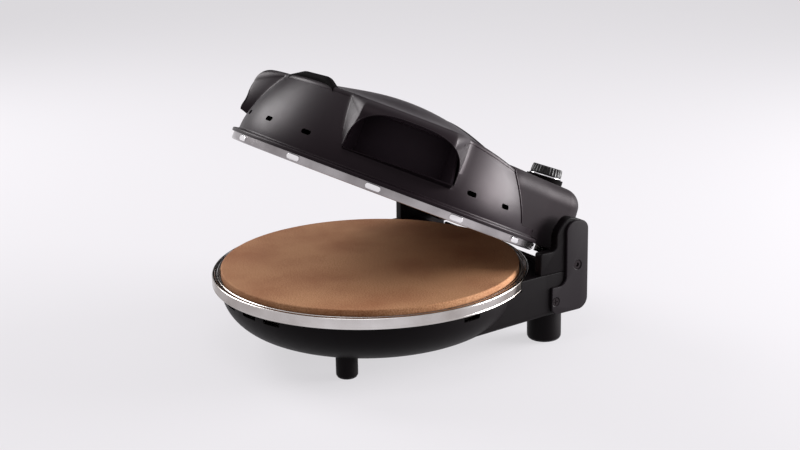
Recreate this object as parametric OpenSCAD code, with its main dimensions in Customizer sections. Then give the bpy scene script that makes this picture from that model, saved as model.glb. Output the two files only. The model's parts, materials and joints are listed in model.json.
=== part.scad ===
// Countertop pizza oven: a round base with a baking stone, and a domed lid with its own
// heating element that swings up on two rear hinge pins.
// Millimetres, +Z up, front of the oven towards -Y, standing on z = 0.
// Most sizes below are taken from the top plane of the base rim, "rim plane" for short.

/* [Baking stone and rims] */
// Diameter of the baking stone
stone_d = 330; // [280:1:360]
// Thickness of the baking stone
stone_t = 12; // [9:0.5:16]
// Height of the stone's top face above the rim plane
stone_proud = 6; // [3:0.5:8]
// Width of the steel rim outside the stone
rim_w = 10; // [9:0.5:14]
// Height of the base rim's steel band
base_band_h = 11.7; // [8:0.1:16]
// Height of the lid rim's steel band
lid_band_h = 8.5; // [6:0.1:12]
// Sheet thickness of rims, trays and reflectors
sheet_t = 1; // [0.8:0.1:1.6]
// Number of clips that hold the lid's rim to its shell
rim_clip_count = 12; // [8:1:16]
// Width of one rim clip
rim_clip_w = 16; // [10:1:22]

/* [Base] */
// Height of the rim plane above the table
rim_h = 85; // [78:1:100]
// Depth of the bowl below the rim plane
bowl_depth = 63; // [54:1:68]
// Radius of the bowl's flat bottom
bowl_flat_r = 110; // [95:1:120]
// Wall thickness of the mouldings
wall = 2.6; // [2:0.1:3.5]
// Length of a vent slot below the base rim
base_vent_w = 22; // [14:1:28]
// Height of a vent slot below the base rim
base_vent_h = 6; // [4:0.5:7]
// Depth of the steel tray below the rim plane
tray_depth = 30; // [26:1:34]

/* [Feet] */
// Diameter of the two front feet
front_foot_d = 23.5; // [18:0.5:30]
// Sideways distance of a front foot from the middle
front_foot_x = 83; // [70:1:88]
// Distance of the front feet ahead of the stone's centre
front_foot_y = 84; // [74:1:88]
// Diameter of the two rear feet
rear_foot_d = 38; // [30:1:44]
// Sideways distance of a rear foot from the middle
rear_foot_x = 113; // [104:1:118]
// Distance of the rear feet behind the stone's centre
rear_foot_y = 156; // [148:1:162]
// Thickness of the rubber pad under a foot
pad_t = 2; // [1.5:0.5:4]

/* [Hinge] */
// Distance of the hinge axis behind the stone's centre
hinge_y = 177; // [174:0.5:182]
// Height of the hinge axis above the rim plane
hinge_z = 4; // [2:0.5:8]
// Angle at which the lid stands open
lid_open = 26.2; // [0:0.1:60]
// Gap between the two rims when the lid is shut
shut_gap = 0.5; // [0.3:0.1:1]
// Half the width over the hinge block's side faces
block_half_w = 142; // [140:0.5:146]
// Rear face of the hinge block behind the stone's centre
block_back_y = 192; // [190:1:198]
// Depth of the hinge block below the rim plane
block_depth = 50; // [44:1:56]
// Thickness of one hinge side plate
plate_t = 3; // [2:0.5:4]
// Thickness of one hinge tower
tower_t = 11; // [9:0.5:12]
// Height of the hinge towers above the rim plane
tower_h = 60; // [52:0.5:60.5]
// Height of a tower's front shoulder above the rim plane
tower_shoulder_h = 24; // [16:1:28]
// Radius of a hinge pin
pin_r = 4; // [3:0.25:5]
// Radial running clearance of a hinge pin in its bush
pin_clear = 0.06; // [0.03:0.01:0.1]

/* [Lid] */
// Height of the lid's shoulder above the rim plane, at its rear
lid_side_h = 74; // [71:0.5:78]
// How much higher the shoulder stands at the front
front_rise = 11.7; // [9:0.1:13]
// Height of the crown above the rim plane
crown_h = 102; // [97:0.5:108]
// Distance of the crown's top ahead of the stone's centre
crown_y = 3; // [0:1:20]
// How fast the crown falls away from its top
crown_fall = 0.0022; // [0.0019:0.0001:0.0024]
// How far the lid's wall leans in from its foot to its shoulder
wall_lean = 27; // [22:1:32]
// Height of the vent slots in the lid's wall
lid_vent_z = 34; // [28:1:38]
// Width of a vent slot in the lid's wall
lid_vent_w = 12; // [8:1:16]

/* [Hand grips] */
// Direction of each side hood, from the front
hood_dir = 56; // [52:1:60]
// Radius of a hood's lip
hood_r = 176; // [173:1:180]
// Half the angle of a hood's mouth
mouth_half = 20.3; // [18:0.1:21]
// Height of the mouth's lower edge above the rim plane
mouth_low = 32; // [30:1:36]
// Height of the mouth's top edge above the rim plane
mouth_top = 78.5; // [70:0.5:79]
// How much larger the rounding over a hood is than the one round the dome
hood_round = 11; // [6:0.5:12]
// Radius of the back wall of a hand well
well_back_r = 131; // [126:1:140]
// Width of the front grip
front_grip_w = 92; // [70:1:104]
// Height of the front grip above the shell
front_grip_h = 8.5; // [6:0.5:12]

/* [Rear housing of the lid] */
// Distance of the dome's rear edge behind the stone's centre, at the rim plane
seam_y = 84; // [80:1:88]
// How far that edge leans forward with height
seam_lean = 0.47; // [0.4:0.01:0.55]
// Half width of the rear housing where it leaves the dome
neck_front_half = 146; // [140:1:147]
// Gap between the rear housing and a hinge tower
neck_gap = 4; // [3:0.5:8]
// Back face of the rear housing behind the stone's centre
neck_back_y = 192; // [186:0.5:194]
// Height of the rear housing above the rim plane
neck_h = 78; // [72:0.5:80]

/* [Timer knob] */
// Diameter of the timer knob
knob_d = 38; // [30:1:40]
// Height of the timer knob's black body
knob_h = 9.6; // [8:0.1:12]
// Sideways place of the knob
knob_x = 58; // [48:1:62]
// Distance of the knob behind the stone's centre
knob_y = 163; // [157:1:165]
// Height of the dial's seat above the rim plane
dial_z = 84; // [83:0.5:88]
// Forward tilt of the dial
dial_tilt = 4.5; // [0:0.5:6]
// Radius of the timer's shaft
shaft_r = 3; // [2.5:0.25:4]

/* [Heating elements] */
// Diameter of both tubular elements
element_d = 6.4; // [5.5:0.1:8]
// Radius of the lower element's ring
lower_element_r = 105; // [90:1:120]
// Radius of the upper element's ring
upper_element_r = 118; // [95:1:122]

/* [Hidden] */
$fn = 96;
bit = 0.01;                               // overshoot of a cutting tool
free = 0.3;                               // gap between pieces that pass each other

charcoal = "#3b353a";
black = "#1c181b";
steel = "#c9c6c4";
bright = "#e3e1df";
dull_steel = "#9b9996";
stone_colour = "#b5835f";
rubber = "#222022";

stone_r = stone_d / 2;
rim_r = stone_r + rim_w;                  // outer radius of both steel rims
stone_low = stone_proud - stone_t;        // underside of the stone, from the rim plane
tray_wall_r = stone_r + 1.6;              // inner radius of the tray round the stone
flange_in_r = tray_wall_r + sheet_t;
shoulder_r = rim_r - 2.5;                 // bowl's collar behind the steel band
bowl_r = rim_r - 9;                       // bowl's widest visible radius
bowl_top = -2 * sheet_t;                  // tray flange and rim flange lie on top of it
bowl_waist = -(base_band_h + 3.3);        // height where the bowl starts to round in
block_top = -1;
saddle_z = -18;                           // floor of the gap that the lid's back swings in
block_front_x = block_half_w + 5;
block_front_y = 20;
block_bend_y = 135;
tower_in = block_half_w - tower_t;
neck_waist_half = tower_in - neck_gap;    // half width of the rear housing ahead of the towers
neck_back_half = neck_waist_half - 2;     // and at its back
plate_out = block_half_w + plate_t;
tower_front_y = hinge_y - 27;
tower_back_y = block_back_y - 1;
arm_out = neck_back_half + 2;             // outer face of a hinge arm
arm_w = 18;
arm_in = arm_out - arm_w;
bush_wall = 2;
eye_r = 9;
knob_ring_h = 2;
clip_t = 1.2;

neck_round = 20;

// rear-most point of the open lid: the upper rear edge of the knob
dial_lean = lid_open - dial_tilt;
open_back = hinge_y + (knob_y - hinge_y) * cos(lid_open) + (dial_z - hinge_z) * sin(lid_open)
    + knob_d / 2 * cos(dial_lean) + (knob_ring_h + knob_h - 3) * sin(dial_lean);
frame_y = -(open_back - rim_r) / 2;       // puts the origin under the middle of the whole part

// ---------------------------------------------------------------- helpers

function arc(cx, cy, r, a0, a1, n = 8) =
    [for (i = [0 : n]) let (a = a0 + (a1 - a0) * i / n) [cx + r * cos(a), cy + r * sin(a)]];

// outline with rounded corners: each point is [x, y, corner radius]
function rounded(pts, n = 6) = [
    for (i = [0 : len(pts) - 1])
        let (
            p = [pts[i][0], pts[i][1]],
            q = pts[(i + len(pts) - 1) % len(pts)],
            s = pts[(i + 1) % len(pts)],
            u = unit([q[0] - p[0], q[1] - p[1]]),
            v = unit([s[0] - p[0], s[1] - p[1]]),
            half = acos(max(-1, min(1, u * v))) / 2,
            r = pts[i][2],
            back = r / tan(half),
            c = p + unit(u + v) * r / sin(half),
            a0 = atan2(p[1] + u[1] * back - c[1], p[0] + u[0] * back - c[0]),
            a1 = atan2(p[1] + v[1] * back - c[1], p[0] + v[0] * back - c[0]),
            d = (a1 - a0 + 540) % 360 - 180
        )
        each r <= 0 ? [p] : [for (k = [0 : n]) c + r * [cos(a0 + d * k / n), sin(a0 + d * k / n)]]
];

function unit(v) = v / norm(v);
function clamp(x, lo, hi) = max(lo, min(hi, x));
function soft_max(a, b, k) = (a + b + sqrt((a - b) * (a - b) + k * k)) / 2;

// puts rim-plane geometry of the base into the part's frame
module on_base() translate([0, frame_y, rim_h]) children();

// puts rim-plane geometry of the shut lid into the part's frame, swung open
module on_lid() on_base()
    translate([0, hinge_y, hinge_z]) rotate([-lid_open, 0, 0]) translate([0, -hinge_y, -hinge_z])
        children();

module on_side(side) if (side > 0) children(); else mirror([1, 0, 0]) children();

// extrudes an outline drawn in [y, z] along +X, from x0 over a thickness t
module side_slab(x0, t) translate([x0, 0, 0]) rotate([90, 0, 90]) linear_extrude(t) children();

module pin_x(r, x0, x1, y, z) translate([x0, y, z]) rotate([0, 90, 0]) cylinder(r = r, h = x1 - x0);

// turns geometry drawn at the front to a direction round the oven, and repeats it
module around(dirs) for (a = dirs) rotate([0, 0, a]) children();

// ---------------------------------------------------------------- base

// quarter of an ellipse from the bowl's flat bottom to its waist, drawn in by g
function bowl_curve(g) = [for (i = [0 : 12]) let (a = -90 + 90 * i / 12)
    [bowl_flat_r + (bowl_r - bowl_flat_r - g) * cos(a),
     bowl_waist + (bowl_depth + bowl_waist - g) * sin(a)]];

module bowl_solid() rotate_extrude() polygon(concat(
    [[0, -bowl_depth]], bowl_curve(0),
    [[shoulder_r, -base_band_h - 0.8], [shoulder_r, bowl_top], [0, bowl_top]]
));

// plan of the hinge block, drawn in by g
function block_plan(g) = rounded([
    [block_front_x - g, block_front_y + g, 0], [block_half_w - g, block_bend_y, 0],
    [block_half_w - g, block_back_y - g, 8], [-block_half_w + g, block_back_y - g, 8],
    [-block_half_w + g, block_bend_y, 0], [-block_front_x + g, block_front_y + g, 0]
]);

module hinge_block() intersection() {
    translate([0, 0, -block_depth]) linear_extrude(block_depth + block_top)
        polygon(block_plan(0));
    side_slab(-200, 400)
        polygon(rounded([[0, -block_depth, 0], [block_back_y, -block_depth, 10],
            [block_back_y, block_top, 3], [0, block_top, 0]]));
    translate([0, 300, 0]) rotate([90, 0, 0]) linear_extrude(300)
        polygon(rounded([[-block_front_x, -block_depth, 8], [block_front_x, -block_depth, 8],
            [block_front_x, block_top, 0], [-block_front_x, block_top, 0]]));
}

post_xy = [for (sx = [-1, 1]) for (sy = [-1, 1]) [sx * 62, sy * 62]];
post_r = 4.6;
screw_r = 1.8;
screw_head_r = 3.5;
base_vent_dirs = [-97, -19, -7, 7, 19, 97];
gland_r = 8;
gland_x = -60;
gland_z = -34;
foot_top = -block_depth;
tray_floor = -tray_depth - sheet_t;       // underside of the tray's floor

module base_housing() color(black) on_base() difference() {
    union() {
        difference() {
            union() {
                bowl_solid();
                // the hinge block leaves room for the steel band
                difference() {
                    hinge_block();
                    translate([0, 0, -base_band_h - 1.2]) cylinder(r = rim_r + 0.4, h = 60);
                }
            }
            bowl_cavity();
            // inside of the hinge block, open to the bowl
            translate([0, 0, -block_depth + wall])
                linear_extrude(block_depth - wall + saddle_z - wall)
                intersection() {
                    polygon(block_plan(wall + 0.4));
                    translate([-200, 100]) square([400, 200]);
                }
        }
        // posts that carry the tray
        for (p = post_xy) translate([p[0], p[1], -bowl_depth + bit])
            cylinder(r = post_r, h = tray_floor + bowl_depth - bit);
    }
    // gap between the towers for the back of the lid
    difference() {
        translate([-tower_in - 0.5, tower_front_y + 2, saddle_z])
            cube([2 * tower_in + 1, 100, 60]);
        cylinder(r = rim_r + 3, h = 200, center = true);
    }
    // screw holes with sunk heads
    for (p = post_xy) translate([p[0], p[1], -bowl_depth - 1]) {
        cylinder(r = screw_r + 0.15, h = 24);
        cylinder(r = screw_head_r + 0.3, h = 3.6);
    }
    // vent slots under the steel band
    around(base_vent_dirs) translate([-base_vent_w / 2, -bowl_r - 8, bowl_waist - 0.6 - base_vent_h])
        cube([base_vent_w, 16, base_vent_h]);
    // hole for the cord gland
    translate([gland_x, block_back_y + 1, gland_z]) rotate([90, 0, 0])
        cylinder(r = gland_r, h = wall + 6);
    // bores for the plate screws
    for (side = [-1, 1]) on_side(side)
        pin_x(plate_screw_r, block_half_w - 12, block_half_w + 1, plate_screw_y, plate_screw_z);
}

module bowl_cavity() rotate_extrude() polygon(concat(
    [[0, -bowl_depth + wall]], bowl_curve(wall),
    [[shoulder_r - wall, -base_band_h + 1.5], [shoulder_r - wall, 10], [0, 10]]
));

// steel band with a rolled top edge and a flat flange round the stone
module base_rim() color(bright) on_base() rotate_extrude() polygon(concat(
    [[flange_in_r, -sheet_t], [rim_r - sheet_t - 0.6, -sheet_t],
     [rim_r - sheet_t, -sheet_t - 0.6], [rim_r - sheet_t, -base_band_h],
     [rim_r, -base_band_h], [rim_r, -sheet_t - 0.8]],
    arc(rim_r - 1.1, -0.9, 1.1, 0, 90, 6),
    [[rim_r - 3, 0], [flange_in_r, 0]]
));

// steel tray: flange, ledge that carries the stone, and a floor below the element
module stone_tray() color(dull_steel) on_base() difference() {
    rotate_extrude() polygon([
        [0, -tray_depth], [stone_r - 16, -tray_depth], [stone_r - 13, -tray_depth + 3],
        [stone_r - 13, stone_low], [tray_wall_r, stone_low], [tray_wall_r, -sheet_t],
        [shoulder_r - 0.5, -sheet_t], [shoulder_r - 0.5, -2 * sheet_t],
        [tray_wall_r + sheet_t, -2 * sheet_t], [tray_wall_r + sheet_t, stone_low - sheet_t],
        [stone_r - 13 + sheet_t, stone_low - sheet_t],
        [stone_r - 13 + sheet_t, -tray_depth + 2.6],
        [stone_r - 15.6, tray_floor], [0, tray_floor]
    ]);
    element_legs(lower_element_r, tray_floor - 5, tray_floor + 10, element_d / 2 + 1);
}

module baking_stone() color(stone_colour) on_base() rotate_extrude() polygon(concat(
    [[0, stone_low], [stone_r - 1, stone_low], [stone_r, stone_low + 1]],
    arc(stone_r - 1.5, stone_proud - 1.5, 1.5, 0, 90, 4),
    [[0, stone_proud]]
));

// ---------------------------------------------------------------- heating elements

element_gap = 16;                         // half the angle left open at the back of a ring
lower_element_z = stone_low - 11;
upper_element_z = 17;
lower_clip_dirs = [0, 120, 240];
upper_clip_dirs = [0, 120, 240];

module element_legs(r, z0, z1, leg_r)
    around([180 - element_gap, 180 + element_gap])
        translate([0, -r, z0]) cylinder(r = leg_r, h = z1 - z0);

// open ring of tube with two legs; a negative leg points down
module element(r, leg) {
    rotate([0, 0, 90 + element_gap]) rotate_extrude(angle = 360 - 2 * element_gap)
        translate([r, 0]) circle(d = element_d, $fn = 32);
    around([180 - element_gap, 180 + element_gap]) translate([0, -r, 0])
        sphere(d = element_d, $fn = 32);
    element_legs(r, min(0, leg), max(0, leg), element_d / 2);
}

// block under a ring of tube, hollowed to hold it
module element_clip(r, z_foot, z) difference() {
    translate([-5, -r - 7, min(z_foot, z)]) cube([10, 14, abs(z - z_foot)]);
    translate([0, 0, z]) rotate([0, 0, -90 - 12]) rotate_extrude(angle = 24)
        translate([r, 0]) circle(d = element_d + 0.1, $fn = 32);
}

module lower_element() color(dull_steel) on_base()
    translate([0, 0, lower_element_z])
        element(lower_element_r, tray_floor - 7 - lower_element_z);

module lower_element_clips() color(steel) on_base() around(lower_clip_dirs)
    element_clip(lower_element_r, -tray_depth, lower_element_z);

module upper_element() color(dull_steel) on_lid()
    translate([0, 0, upper_element_z])
        element(upper_element_r, reflector_top + 7 - upper_element_z);

module upper_element_clips() color(steel) on_lid() around(upper_clip_dirs)
    element_clip(upper_element_r, reflector_top - sheet_t, upper_element_z);

// ---------------------------------------------------------------- under the tray

shield_r = lower_element_r + 13;
shield_z = tray_floor - 12;
fuse_r = 3;
terminal_h = 14;
terminal_y = block_back_y - 34;

module heat_shield() color(steel) on_base() difference() {
    union() {
        translate([0, 0, shield_z - 0.8]) cylinder(r = shield_r, h = 0.8);
        around([0, 90, 180, 270]) translate([0, 28 - shield_r, shield_z - bit])
            cylinder(r = 3, h = tray_floor - shield_z + bit);
    }
    for (p = post_xy) translate([p[0], p[1], shield_z - 2]) cylinder(r = post_r + 0.6, h = 4);
    element_legs(lower_element_r, shield_z - 4, shield_z + 4, element_d / 2 + 2);
}

module thermostat() color(dull_steel) on_base() translate([30, 40, tray_floor - 7]) union() {
    cylinder(r = 8, h = 7);
    translate([-14, -4, 6]) cube([28, 8, 1]);
    translate([-6, -1.5, -3]) cube([2, 3, 3 + bit]);
    translate([4, -1.5, -3]) cube([2, 3, 3 + bit]);
}

module thermal_fuse() color("#d8d2c4") on_base()
    pin_x(fuse_r, -50, -22, 40, tray_floor - fuse_r);

module terminal_block() color("#e6e0d2") on_base() difference() {
    translate([20, terminal_y, -block_depth + wall]) cube([48, 16, terminal_h]);
    for (i = [0 : 2]) translate([30 + i * 14, terminal_y + 8, -block_depth + wall + 6])
        cylinder(r = 2.6, h = terminal_h - 2);
}

module cord_gland() color(black) on_base()
    translate([gland_x, block_back_y, gland_z]) rotate([-90, 0, 0]) difference() {
        union() {
            translate([0, 0, -9]) cylinder(r = gland_r - 0.1, h = 9 + bit);
            cylinder(r1 = gland_r + 2.5, r2 = gland_r + 1, h = 3);
            translate([0, 0, -9]) cylinder(r = gland_r + 2, h = 9 - wall - 0.6);
        }
        translate([0, 0, -10]) cylinder(r = 4, h = 20);
    }

module base_screws() color(dull_steel) on_base() for (p = post_xy)
    translate([p[0], p[1], -bowl_depth + 0.4]) difference() {
        union() {
            cylinder(r = screw_head_r, h = 2.2 - bit);
            cylinder(r = screw_r, h = 20);
        }
        translate([-2.5, -0.4, -1]) cube([5, 0.8, 1.8]);
        translate([-0.4, -2.5, -1]) cube([0.8, 5, 1.8]);
    }

// ---------------------------------------------------------------- feet

pad_inset = 2.2;

module front_foot(side) color(black) on_base() difference() {
    translate([side * front_foot_x, -front_foot_y, -rim_h + pad_t])
        cylinder(d = front_foot_d, h = rim_h - bowl_depth + 14);
    bowl_solid();
}

module rear_foot(side) color(black) on_base()
    translate([side * rear_foot_x, rear_foot_y, -rim_h + pad_t])
        cylinder(d = rear_foot_d, h = rim_h - pad_t + foot_top);

module front_foot_right() front_foot(1);
module front_foot_left() front_foot(-1);
module rear_foot_right() rear_foot(1);
module rear_foot_left() rear_foot(-1);

module foot_pads() color(rubber) translate([0, frame_y, 0]) for (side = [-1, 1]) {
    translate([side * front_foot_x, -front_foot_y, 0])
        cylinder(d = front_foot_d - pad_inset, h = pad_t);
    translate([side * rear_foot_x, rear_foot_y, 0])
        cylinder(d = rear_foot_d - pad_inset, h = pad_t);
}

// ---------------------------------------------------------------- hinge, fixed side

plate_screw_y = hinge_y - 30;
plate_screw_z = -33;
plate_screw_r = 2;
pin_head_r = 4.8;

// side view of a tower: a low shoulder in front and a tall cheek behind it
function tower_outline() = rounded([
    [tower_front_y - 22, block_top, 0], [tower_front_y - 22, tower_shoulder_h, 3],
    [tower_front_y, tower_shoulder_h, 6], [tower_front_y, tower_h - 16, 16],
    [tower_front_y + 16, tower_h, 10], [tower_back_y, tower_h - 9, 12],
    [tower_back_y, block_top, 0]
]);

// side view of a plate: an upright with a lower foot that reaches forward
function plate_outline() = rounded([
    [hinge_y - 35.5, -block_depth + 2, 9], [hinge_y - 35.5, -16.5, 2],
    [hinge_y - 15.5, -16.5, 10], [hinge_y - 15.5, tower_h - 3, 12],
    [tower_back_y + 0.5, tower_h - 4.5, 11], [tower_back_y + 0.5, -block_depth + 2, 13]
], 8);

module hinge_tower(side) color(black) on_base() on_side(side) difference() {
    side_slab(tower_in, tower_t) polygon(tower_outline());
    pin_x(pin_r, tower_in - 1, block_half_w + 1, hinge_y, hinge_z);
}

module hinge_plate(side) color("#2a2428") on_base() on_side(side) difference() {
    side_slab(block_half_w, plate_t) polygon(plate_outline());
    pin_x(pin_head_r + 0.4, block_half_w - 1, plate_out + 1, hinge_y, hinge_z);
    pin_x(pin_head_r, block_half_w + 1, plate_out + 1, plate_screw_y, plate_screw_z);
    pin_x(plate_screw_r, block_half_w - 1, plate_out, plate_screw_y, plate_screw_z);
}

module plate_screws() color(steel) on_base() for (side = [-1, 1]) on_side(side) difference() {
    union() {
        pin_x(plate_screw_r, block_half_w - 10, block_half_w + 1 + bit,
            plate_screw_y, plate_screw_z);
        pin_x(pin_head_r - 0.4, block_half_w + 1, block_half_w + 2.4,
            plate_screw_y, plate_screw_z);
    }
    for (a = [0, 90]) translate([block_half_w + 2, plate_screw_y, plate_screw_z])
        rotate([a, 0, 0]) translate([-0.6, -3, -0.5]) cube([2, 6, 1]);
}

// shoulder bolt: socket head in the plate, shank through tower and bush, groove for its clip
module hinge_pin(side) color(steel) on_base() on_side(side) difference() {
    union() {
        pin_x(pin_head_r, block_half_w, block_half_w + 2, hinge_y, hinge_z);
        pin_x(pin_r, arm_in - 4, block_half_w + bit, hinge_y, hinge_z);
    }
    translate([block_half_w + 0.6, hinge_y, hinge_z]) rotate([0, 90, 0]) linear_extrude(3)
        polygon([for (a = [0 : 60 : 300]) 2.6 * [cos(a), sin(a)]]);
    difference() {
        pin_x(pin_r + 1, arm_in - 2.6, arm_in - 1.2, hinge_y, hinge_z);
        pin_x(pin_r - 0.8, arm_in - 3, arm_in - 1, hinge_y, hinge_z);
    }
}

// snap rings on the inner ends of the pins
module pin_clips() color(steel) on_base() for (side = [-1, 1]) on_side(side) difference() {
    pin_x(pin_r + 2.4, arm_in - 2.5, arm_in - 1.3, hinge_y, hinge_z);
    pin_x(pin_r - 0.8, arm_in - 3, arm_in, hinge_y, hinge_z);
    translate([arm_in - 3, hinge_y - 2.2, hinge_z]) cube([3, 4.4, 12]);
}

module hinge_tower_right() hinge_tower(1);
module hinge_tower_left() hinge_tower(-1);
module hinge_plate_right() hinge_plate(1);
module hinge_plate_left() hinge_plate(-1);
module hinge_pin_right() hinge_pin(1);
module hinge_pin_left() hinge_pin(-1);

// ---------------------------------------------------------------- lid shell

lid_low = shut_gap + lid_band_h;          // underside of the shell's flange
flange_r = rim_r + 2.5;                   // the flange stands a little proud of the band
foot_r = rim_r - 4;                       // wall radius just above the flange
foot_z = lid_low + 7;
shoulder_z = lid_side_h + 8;
step_z = mouth_low + 2;                   // height where the hoods stand full width
edge_round = 5;                           // rounding between wall and top

// half angles of a hood: at its crease with the wall, and of its full-width front
function crease_half(z) = mouth_half + 7 * clamp((z - mouth_low) / 50, 0, 1);
function front_half(z) = mouth_half - 0.8 - 1.5 * clamp((z - mouth_low) / 50, 0, 1);

// radius of the plain dome wall at height z
function wall_r(z) = z < lid_low + 4 ? flange_r
    : foot_r - wall_lean * pow(max(0, z - foot_z) / (shoulder_z - foot_z), 1.7);

// height of the top surface: a cap that is level in front, falls to the rear and droops over
// the hoods, with the crown rising out of it
function top_z(x, y) = soft_max(
    lid_side_h + front_rise * (1 - pow(max(0, y + 40) / 80, 1.5))
        - 0.0015 * pow(max(0, norm([x, y]) - foot_r + wall_lean + edge_round), 2),
    crown_h - crown_fall * (x * x + (y + crown_y) * (y + crown_y)), 16);

// share of the hood at a direction and height, 0 on the plain wall and 1 on the hood's front
function hood_share(dir, z) = clamp((z - mouth_low + 1) / 3, 0, 1)
    * clamp((crease_half(z) - abs(abs(dir) - hood_dir))
        / (crease_half(z) - front_half(z)), 0, 1);

function skin_r(dir, z) = wall_r(z) + (hood_r - wall_r(z)) * hood_share(dir, z);

// columns of the skin: they follow the creases, so that each crease is one clean edge
col_counts = [5, 2, 7, 2, 12];
half_cols = 28;
cols = 2 * half_cols;

function col_keys(z) = [0, hood_dir - crease_half(z), hood_dir - front_half(z),
    hood_dir + front_half(z), hood_dir + crease_half(z), 180];
function col_dir(i, z, k = 0) = i <= col_counts[k] || k == 4
    ? col_keys(z)[k] + (col_keys(z)[k + 1] - col_keys(z)[k]) * i / col_counts[k]
    : col_dir(i - col_counts[k], z, k + 1);
function dir_at(c, z) = c <= half_cols ? col_dir(c, z) : -col_dir(cols - c, z);

low_rows = [lid_low, lid_low + 3.5, lid_low + 5.5, foot_z, 24, mouth_low - 1, step_z];
wall_shares = [0.2, 0.4, 0.6, 0.8, 1];
round_angles = [30, 60, 90];              // rows on the rounding between wall and top
top_shares = [0.9, 0.75, 0.58, 0.4, 0.22, 0.08];
rows = len(low_rows) + len(wall_shares) + len(round_angles) + len(top_shares);

// radius of the rounding between wall and top: larger over a hood
function round_r(dir) = edge_round + hood_round * hood_share(dir, shoulder_z);

// height on column c where the wall starts to round over into the top
function turn_z(c) = let (
        d = dir_at(c, shoulder_z),
        e = round_r(d),
        r = skin_r(d, shoulder_z) - e
    ) top_z(r * sin(d), -r * cos(d)) - e;

// point of the skin on row j and column c; t is the depth below the outer surface
function skin_point(j, c, t) = let (
        n0 = len(low_rows),
        n1 = n0 + len(wall_shares),
        n2 = n1 + len(round_angles),
        zt = turn_z(c),
        z = j < n0 ? low_rows[j] : j < n1 ? step_z + (zt - step_z) * wall_shares[j - n0] : zt,
        d = dir_at(c, z),
        full = skin_r(d, z),
        e = round_r(d),
        r = j < n1 ? min(full, t > 0 ? max(foot_r, full * step(z, step_z)) : full) - t
            : j < n2 ? full - e + (e - t) * cos(round_angles[j - n1])
            : (full - e) * top_shares[j - n2],
        p = [r * sin(d), -r * cos(d)],
        h = j < n1 ? z
            : j < n2 - 1 ? zt + (e - t) * sin(round_angles[j - n1])
            : top_z(p[0], p[1]) - t
    ) [p[0], p[1], h];

function step(z, at) = z >= at ? 1 : 0;

function ring_faces(base, flip) = [
    for (j = [0 : rows - 2]) for (c = [0 : cols - 1])
        let (
            a = base + j * cols + c,
            b = base + j * cols + (c + 1) % cols,
            p = a + cols,
            q = b + cols
        )
        each flip ? [[a, q, p], [a, b, q]] : [[a, p, q], [a, q, b]]
];

// the whole lid skin as one closed wall
module skin() {
    outer = [for (j = [0 : rows - 1]) for (c = [0 : cols - 1]) skin_point(j, c, 0)];
    inner = [for (j = [0 : rows - 1]) for (c = [0 : cols - 1]) skin_point(j, c, wall)];
    n = rows * cols;
    tips = [[0, 0, top_z(0, 0)], [0, 0, top_z(0, 0) - wall]];
    polyhedron(
        points = concat(outer, inner, tips),
        faces = concat(
            ring_faces(0, false),
            ring_faces(n, true),
            [for (c = [0 : cols - 1]) [n - cols + c, 2 * n, n - cols + (c + 1) % cols]],
            [for (c = [0 : cols - 1]) [2 * n - cols + (c + 1) % cols, 2 * n + 1, 2 * n - cols + c]],
            [for (c = [0 : cols - 1]) each let (e = (c + 1) % cols)
                [[c, e, n + e], [c, n + e, n + c]]]
        ),
        convexity = 6
    );
}

// half-moon outline of a hood's mouth, in the plane across its direction: squarer at its
// front end, on the negative side, and rounder at its rear end
function mouth_outline() = let (w = hood_r * sin(mouth_half), h = mouth_top - mouth_low) [
    for (i = [0 : 24]) let (a = 180 - 180 * i / 24, x = cos(a), p = x < 0 ? 0.66 : 0.88)
        [w * sign(x) * pow(abs(x), p), mouth_low + h * pow(abs(sin(a)), p)]
];

module mouth(side, r0) on_side(side) rotate([0, 0, hood_dir]) translate([0, -r0, 0])
    rotate([90, 0, 0]) linear_extrude(90) polygon(mouth_outline());

lid_vent_dirs = [-102, -85, -20.5, 0, 20.5, 85, 102];
deck_z = lid_low + 13;                    // top of the low deck round the rear housing
deck_in_r = rim_r - 19;

passage_x = 100;                          // half width of the passage into the rear housing
passage_z = 60;                           // top of that passage

// slab of half width w along the dome's rear edge plane: from g0 to g1 behind it, z0 to z1 high
module along_seam(g0, g1, w = 220, z0 = deck_z, z1 = 130) side_slab(-w, 2 * w) polygon([
    [seam_y - seam_lean * z0 + g0, z0], [seam_y - seam_lean * z1 + g0, z1],
    [seam_y - seam_lean * z1 + g1, z1], [seam_y - seam_lean * z0 + g1, z0]]);

module lid_shell() color(charcoal) on_lid() difference() {
    union() {
        skin();
        // bulkhead that closes the dome behind
        intersection() {
            skin_block(wall / 2);
            along_seam(-wall, 1, 220, reflector_top + 0.5);
        }
        // deck between the low rear wall and the rear housing
        rotate([0, 0, 20]) rotate_extrude(angle = 140) polygon([
            [deck_in_r, deck_z - wall], [foot_r - 1, deck_z - wall],
            [foot_r - 1, deck_z + 1], [deck_in_r, deck_z + 1]]);
    }
    along_seam(0, 200);
    along_seam(-wall - 1, 2, passage_x, deck_z + 8, passage_z);
    for (side = [-1, 1]) mouth(side, well_back_r + 12);
    around(lid_vent_dirs) translate([0, -foot_r + 12, lid_vent_z]) rotate([90, 0, 0])
        linear_extrude(30) polygon(rounded([
            [-lid_vent_w / 2, -2.6, 2.4], [lid_vent_w / 2, -2.6, 2.4],
            [lid_vent_w / 2, 2.6, 2.4], [-lid_vent_w / 2, 2.6, 2.4]], 4));
}

// ---------------------------------------------------------------- lid rim and reflector

reflector_top = 27;
lid_liner_r = stone_r + 3.1;              // clear radius round the stone when the lid is shut

module lid_rim() color(bright) on_lid() rotate_extrude() polygon(concat(
    [[lid_liner_r + 0.1, shut_gap]],
    arc(rim_r - 1.1, shut_gap + 1.1, 1.1, -90, 0, 6),
    [[rim_r, lid_low], [rim_r - sheet_t, lid_low], [rim_r - sheet_t, shut_gap + sheet_t],
     [lid_liner_r + 0.1, shut_gap + sheet_t]]
));

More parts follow.
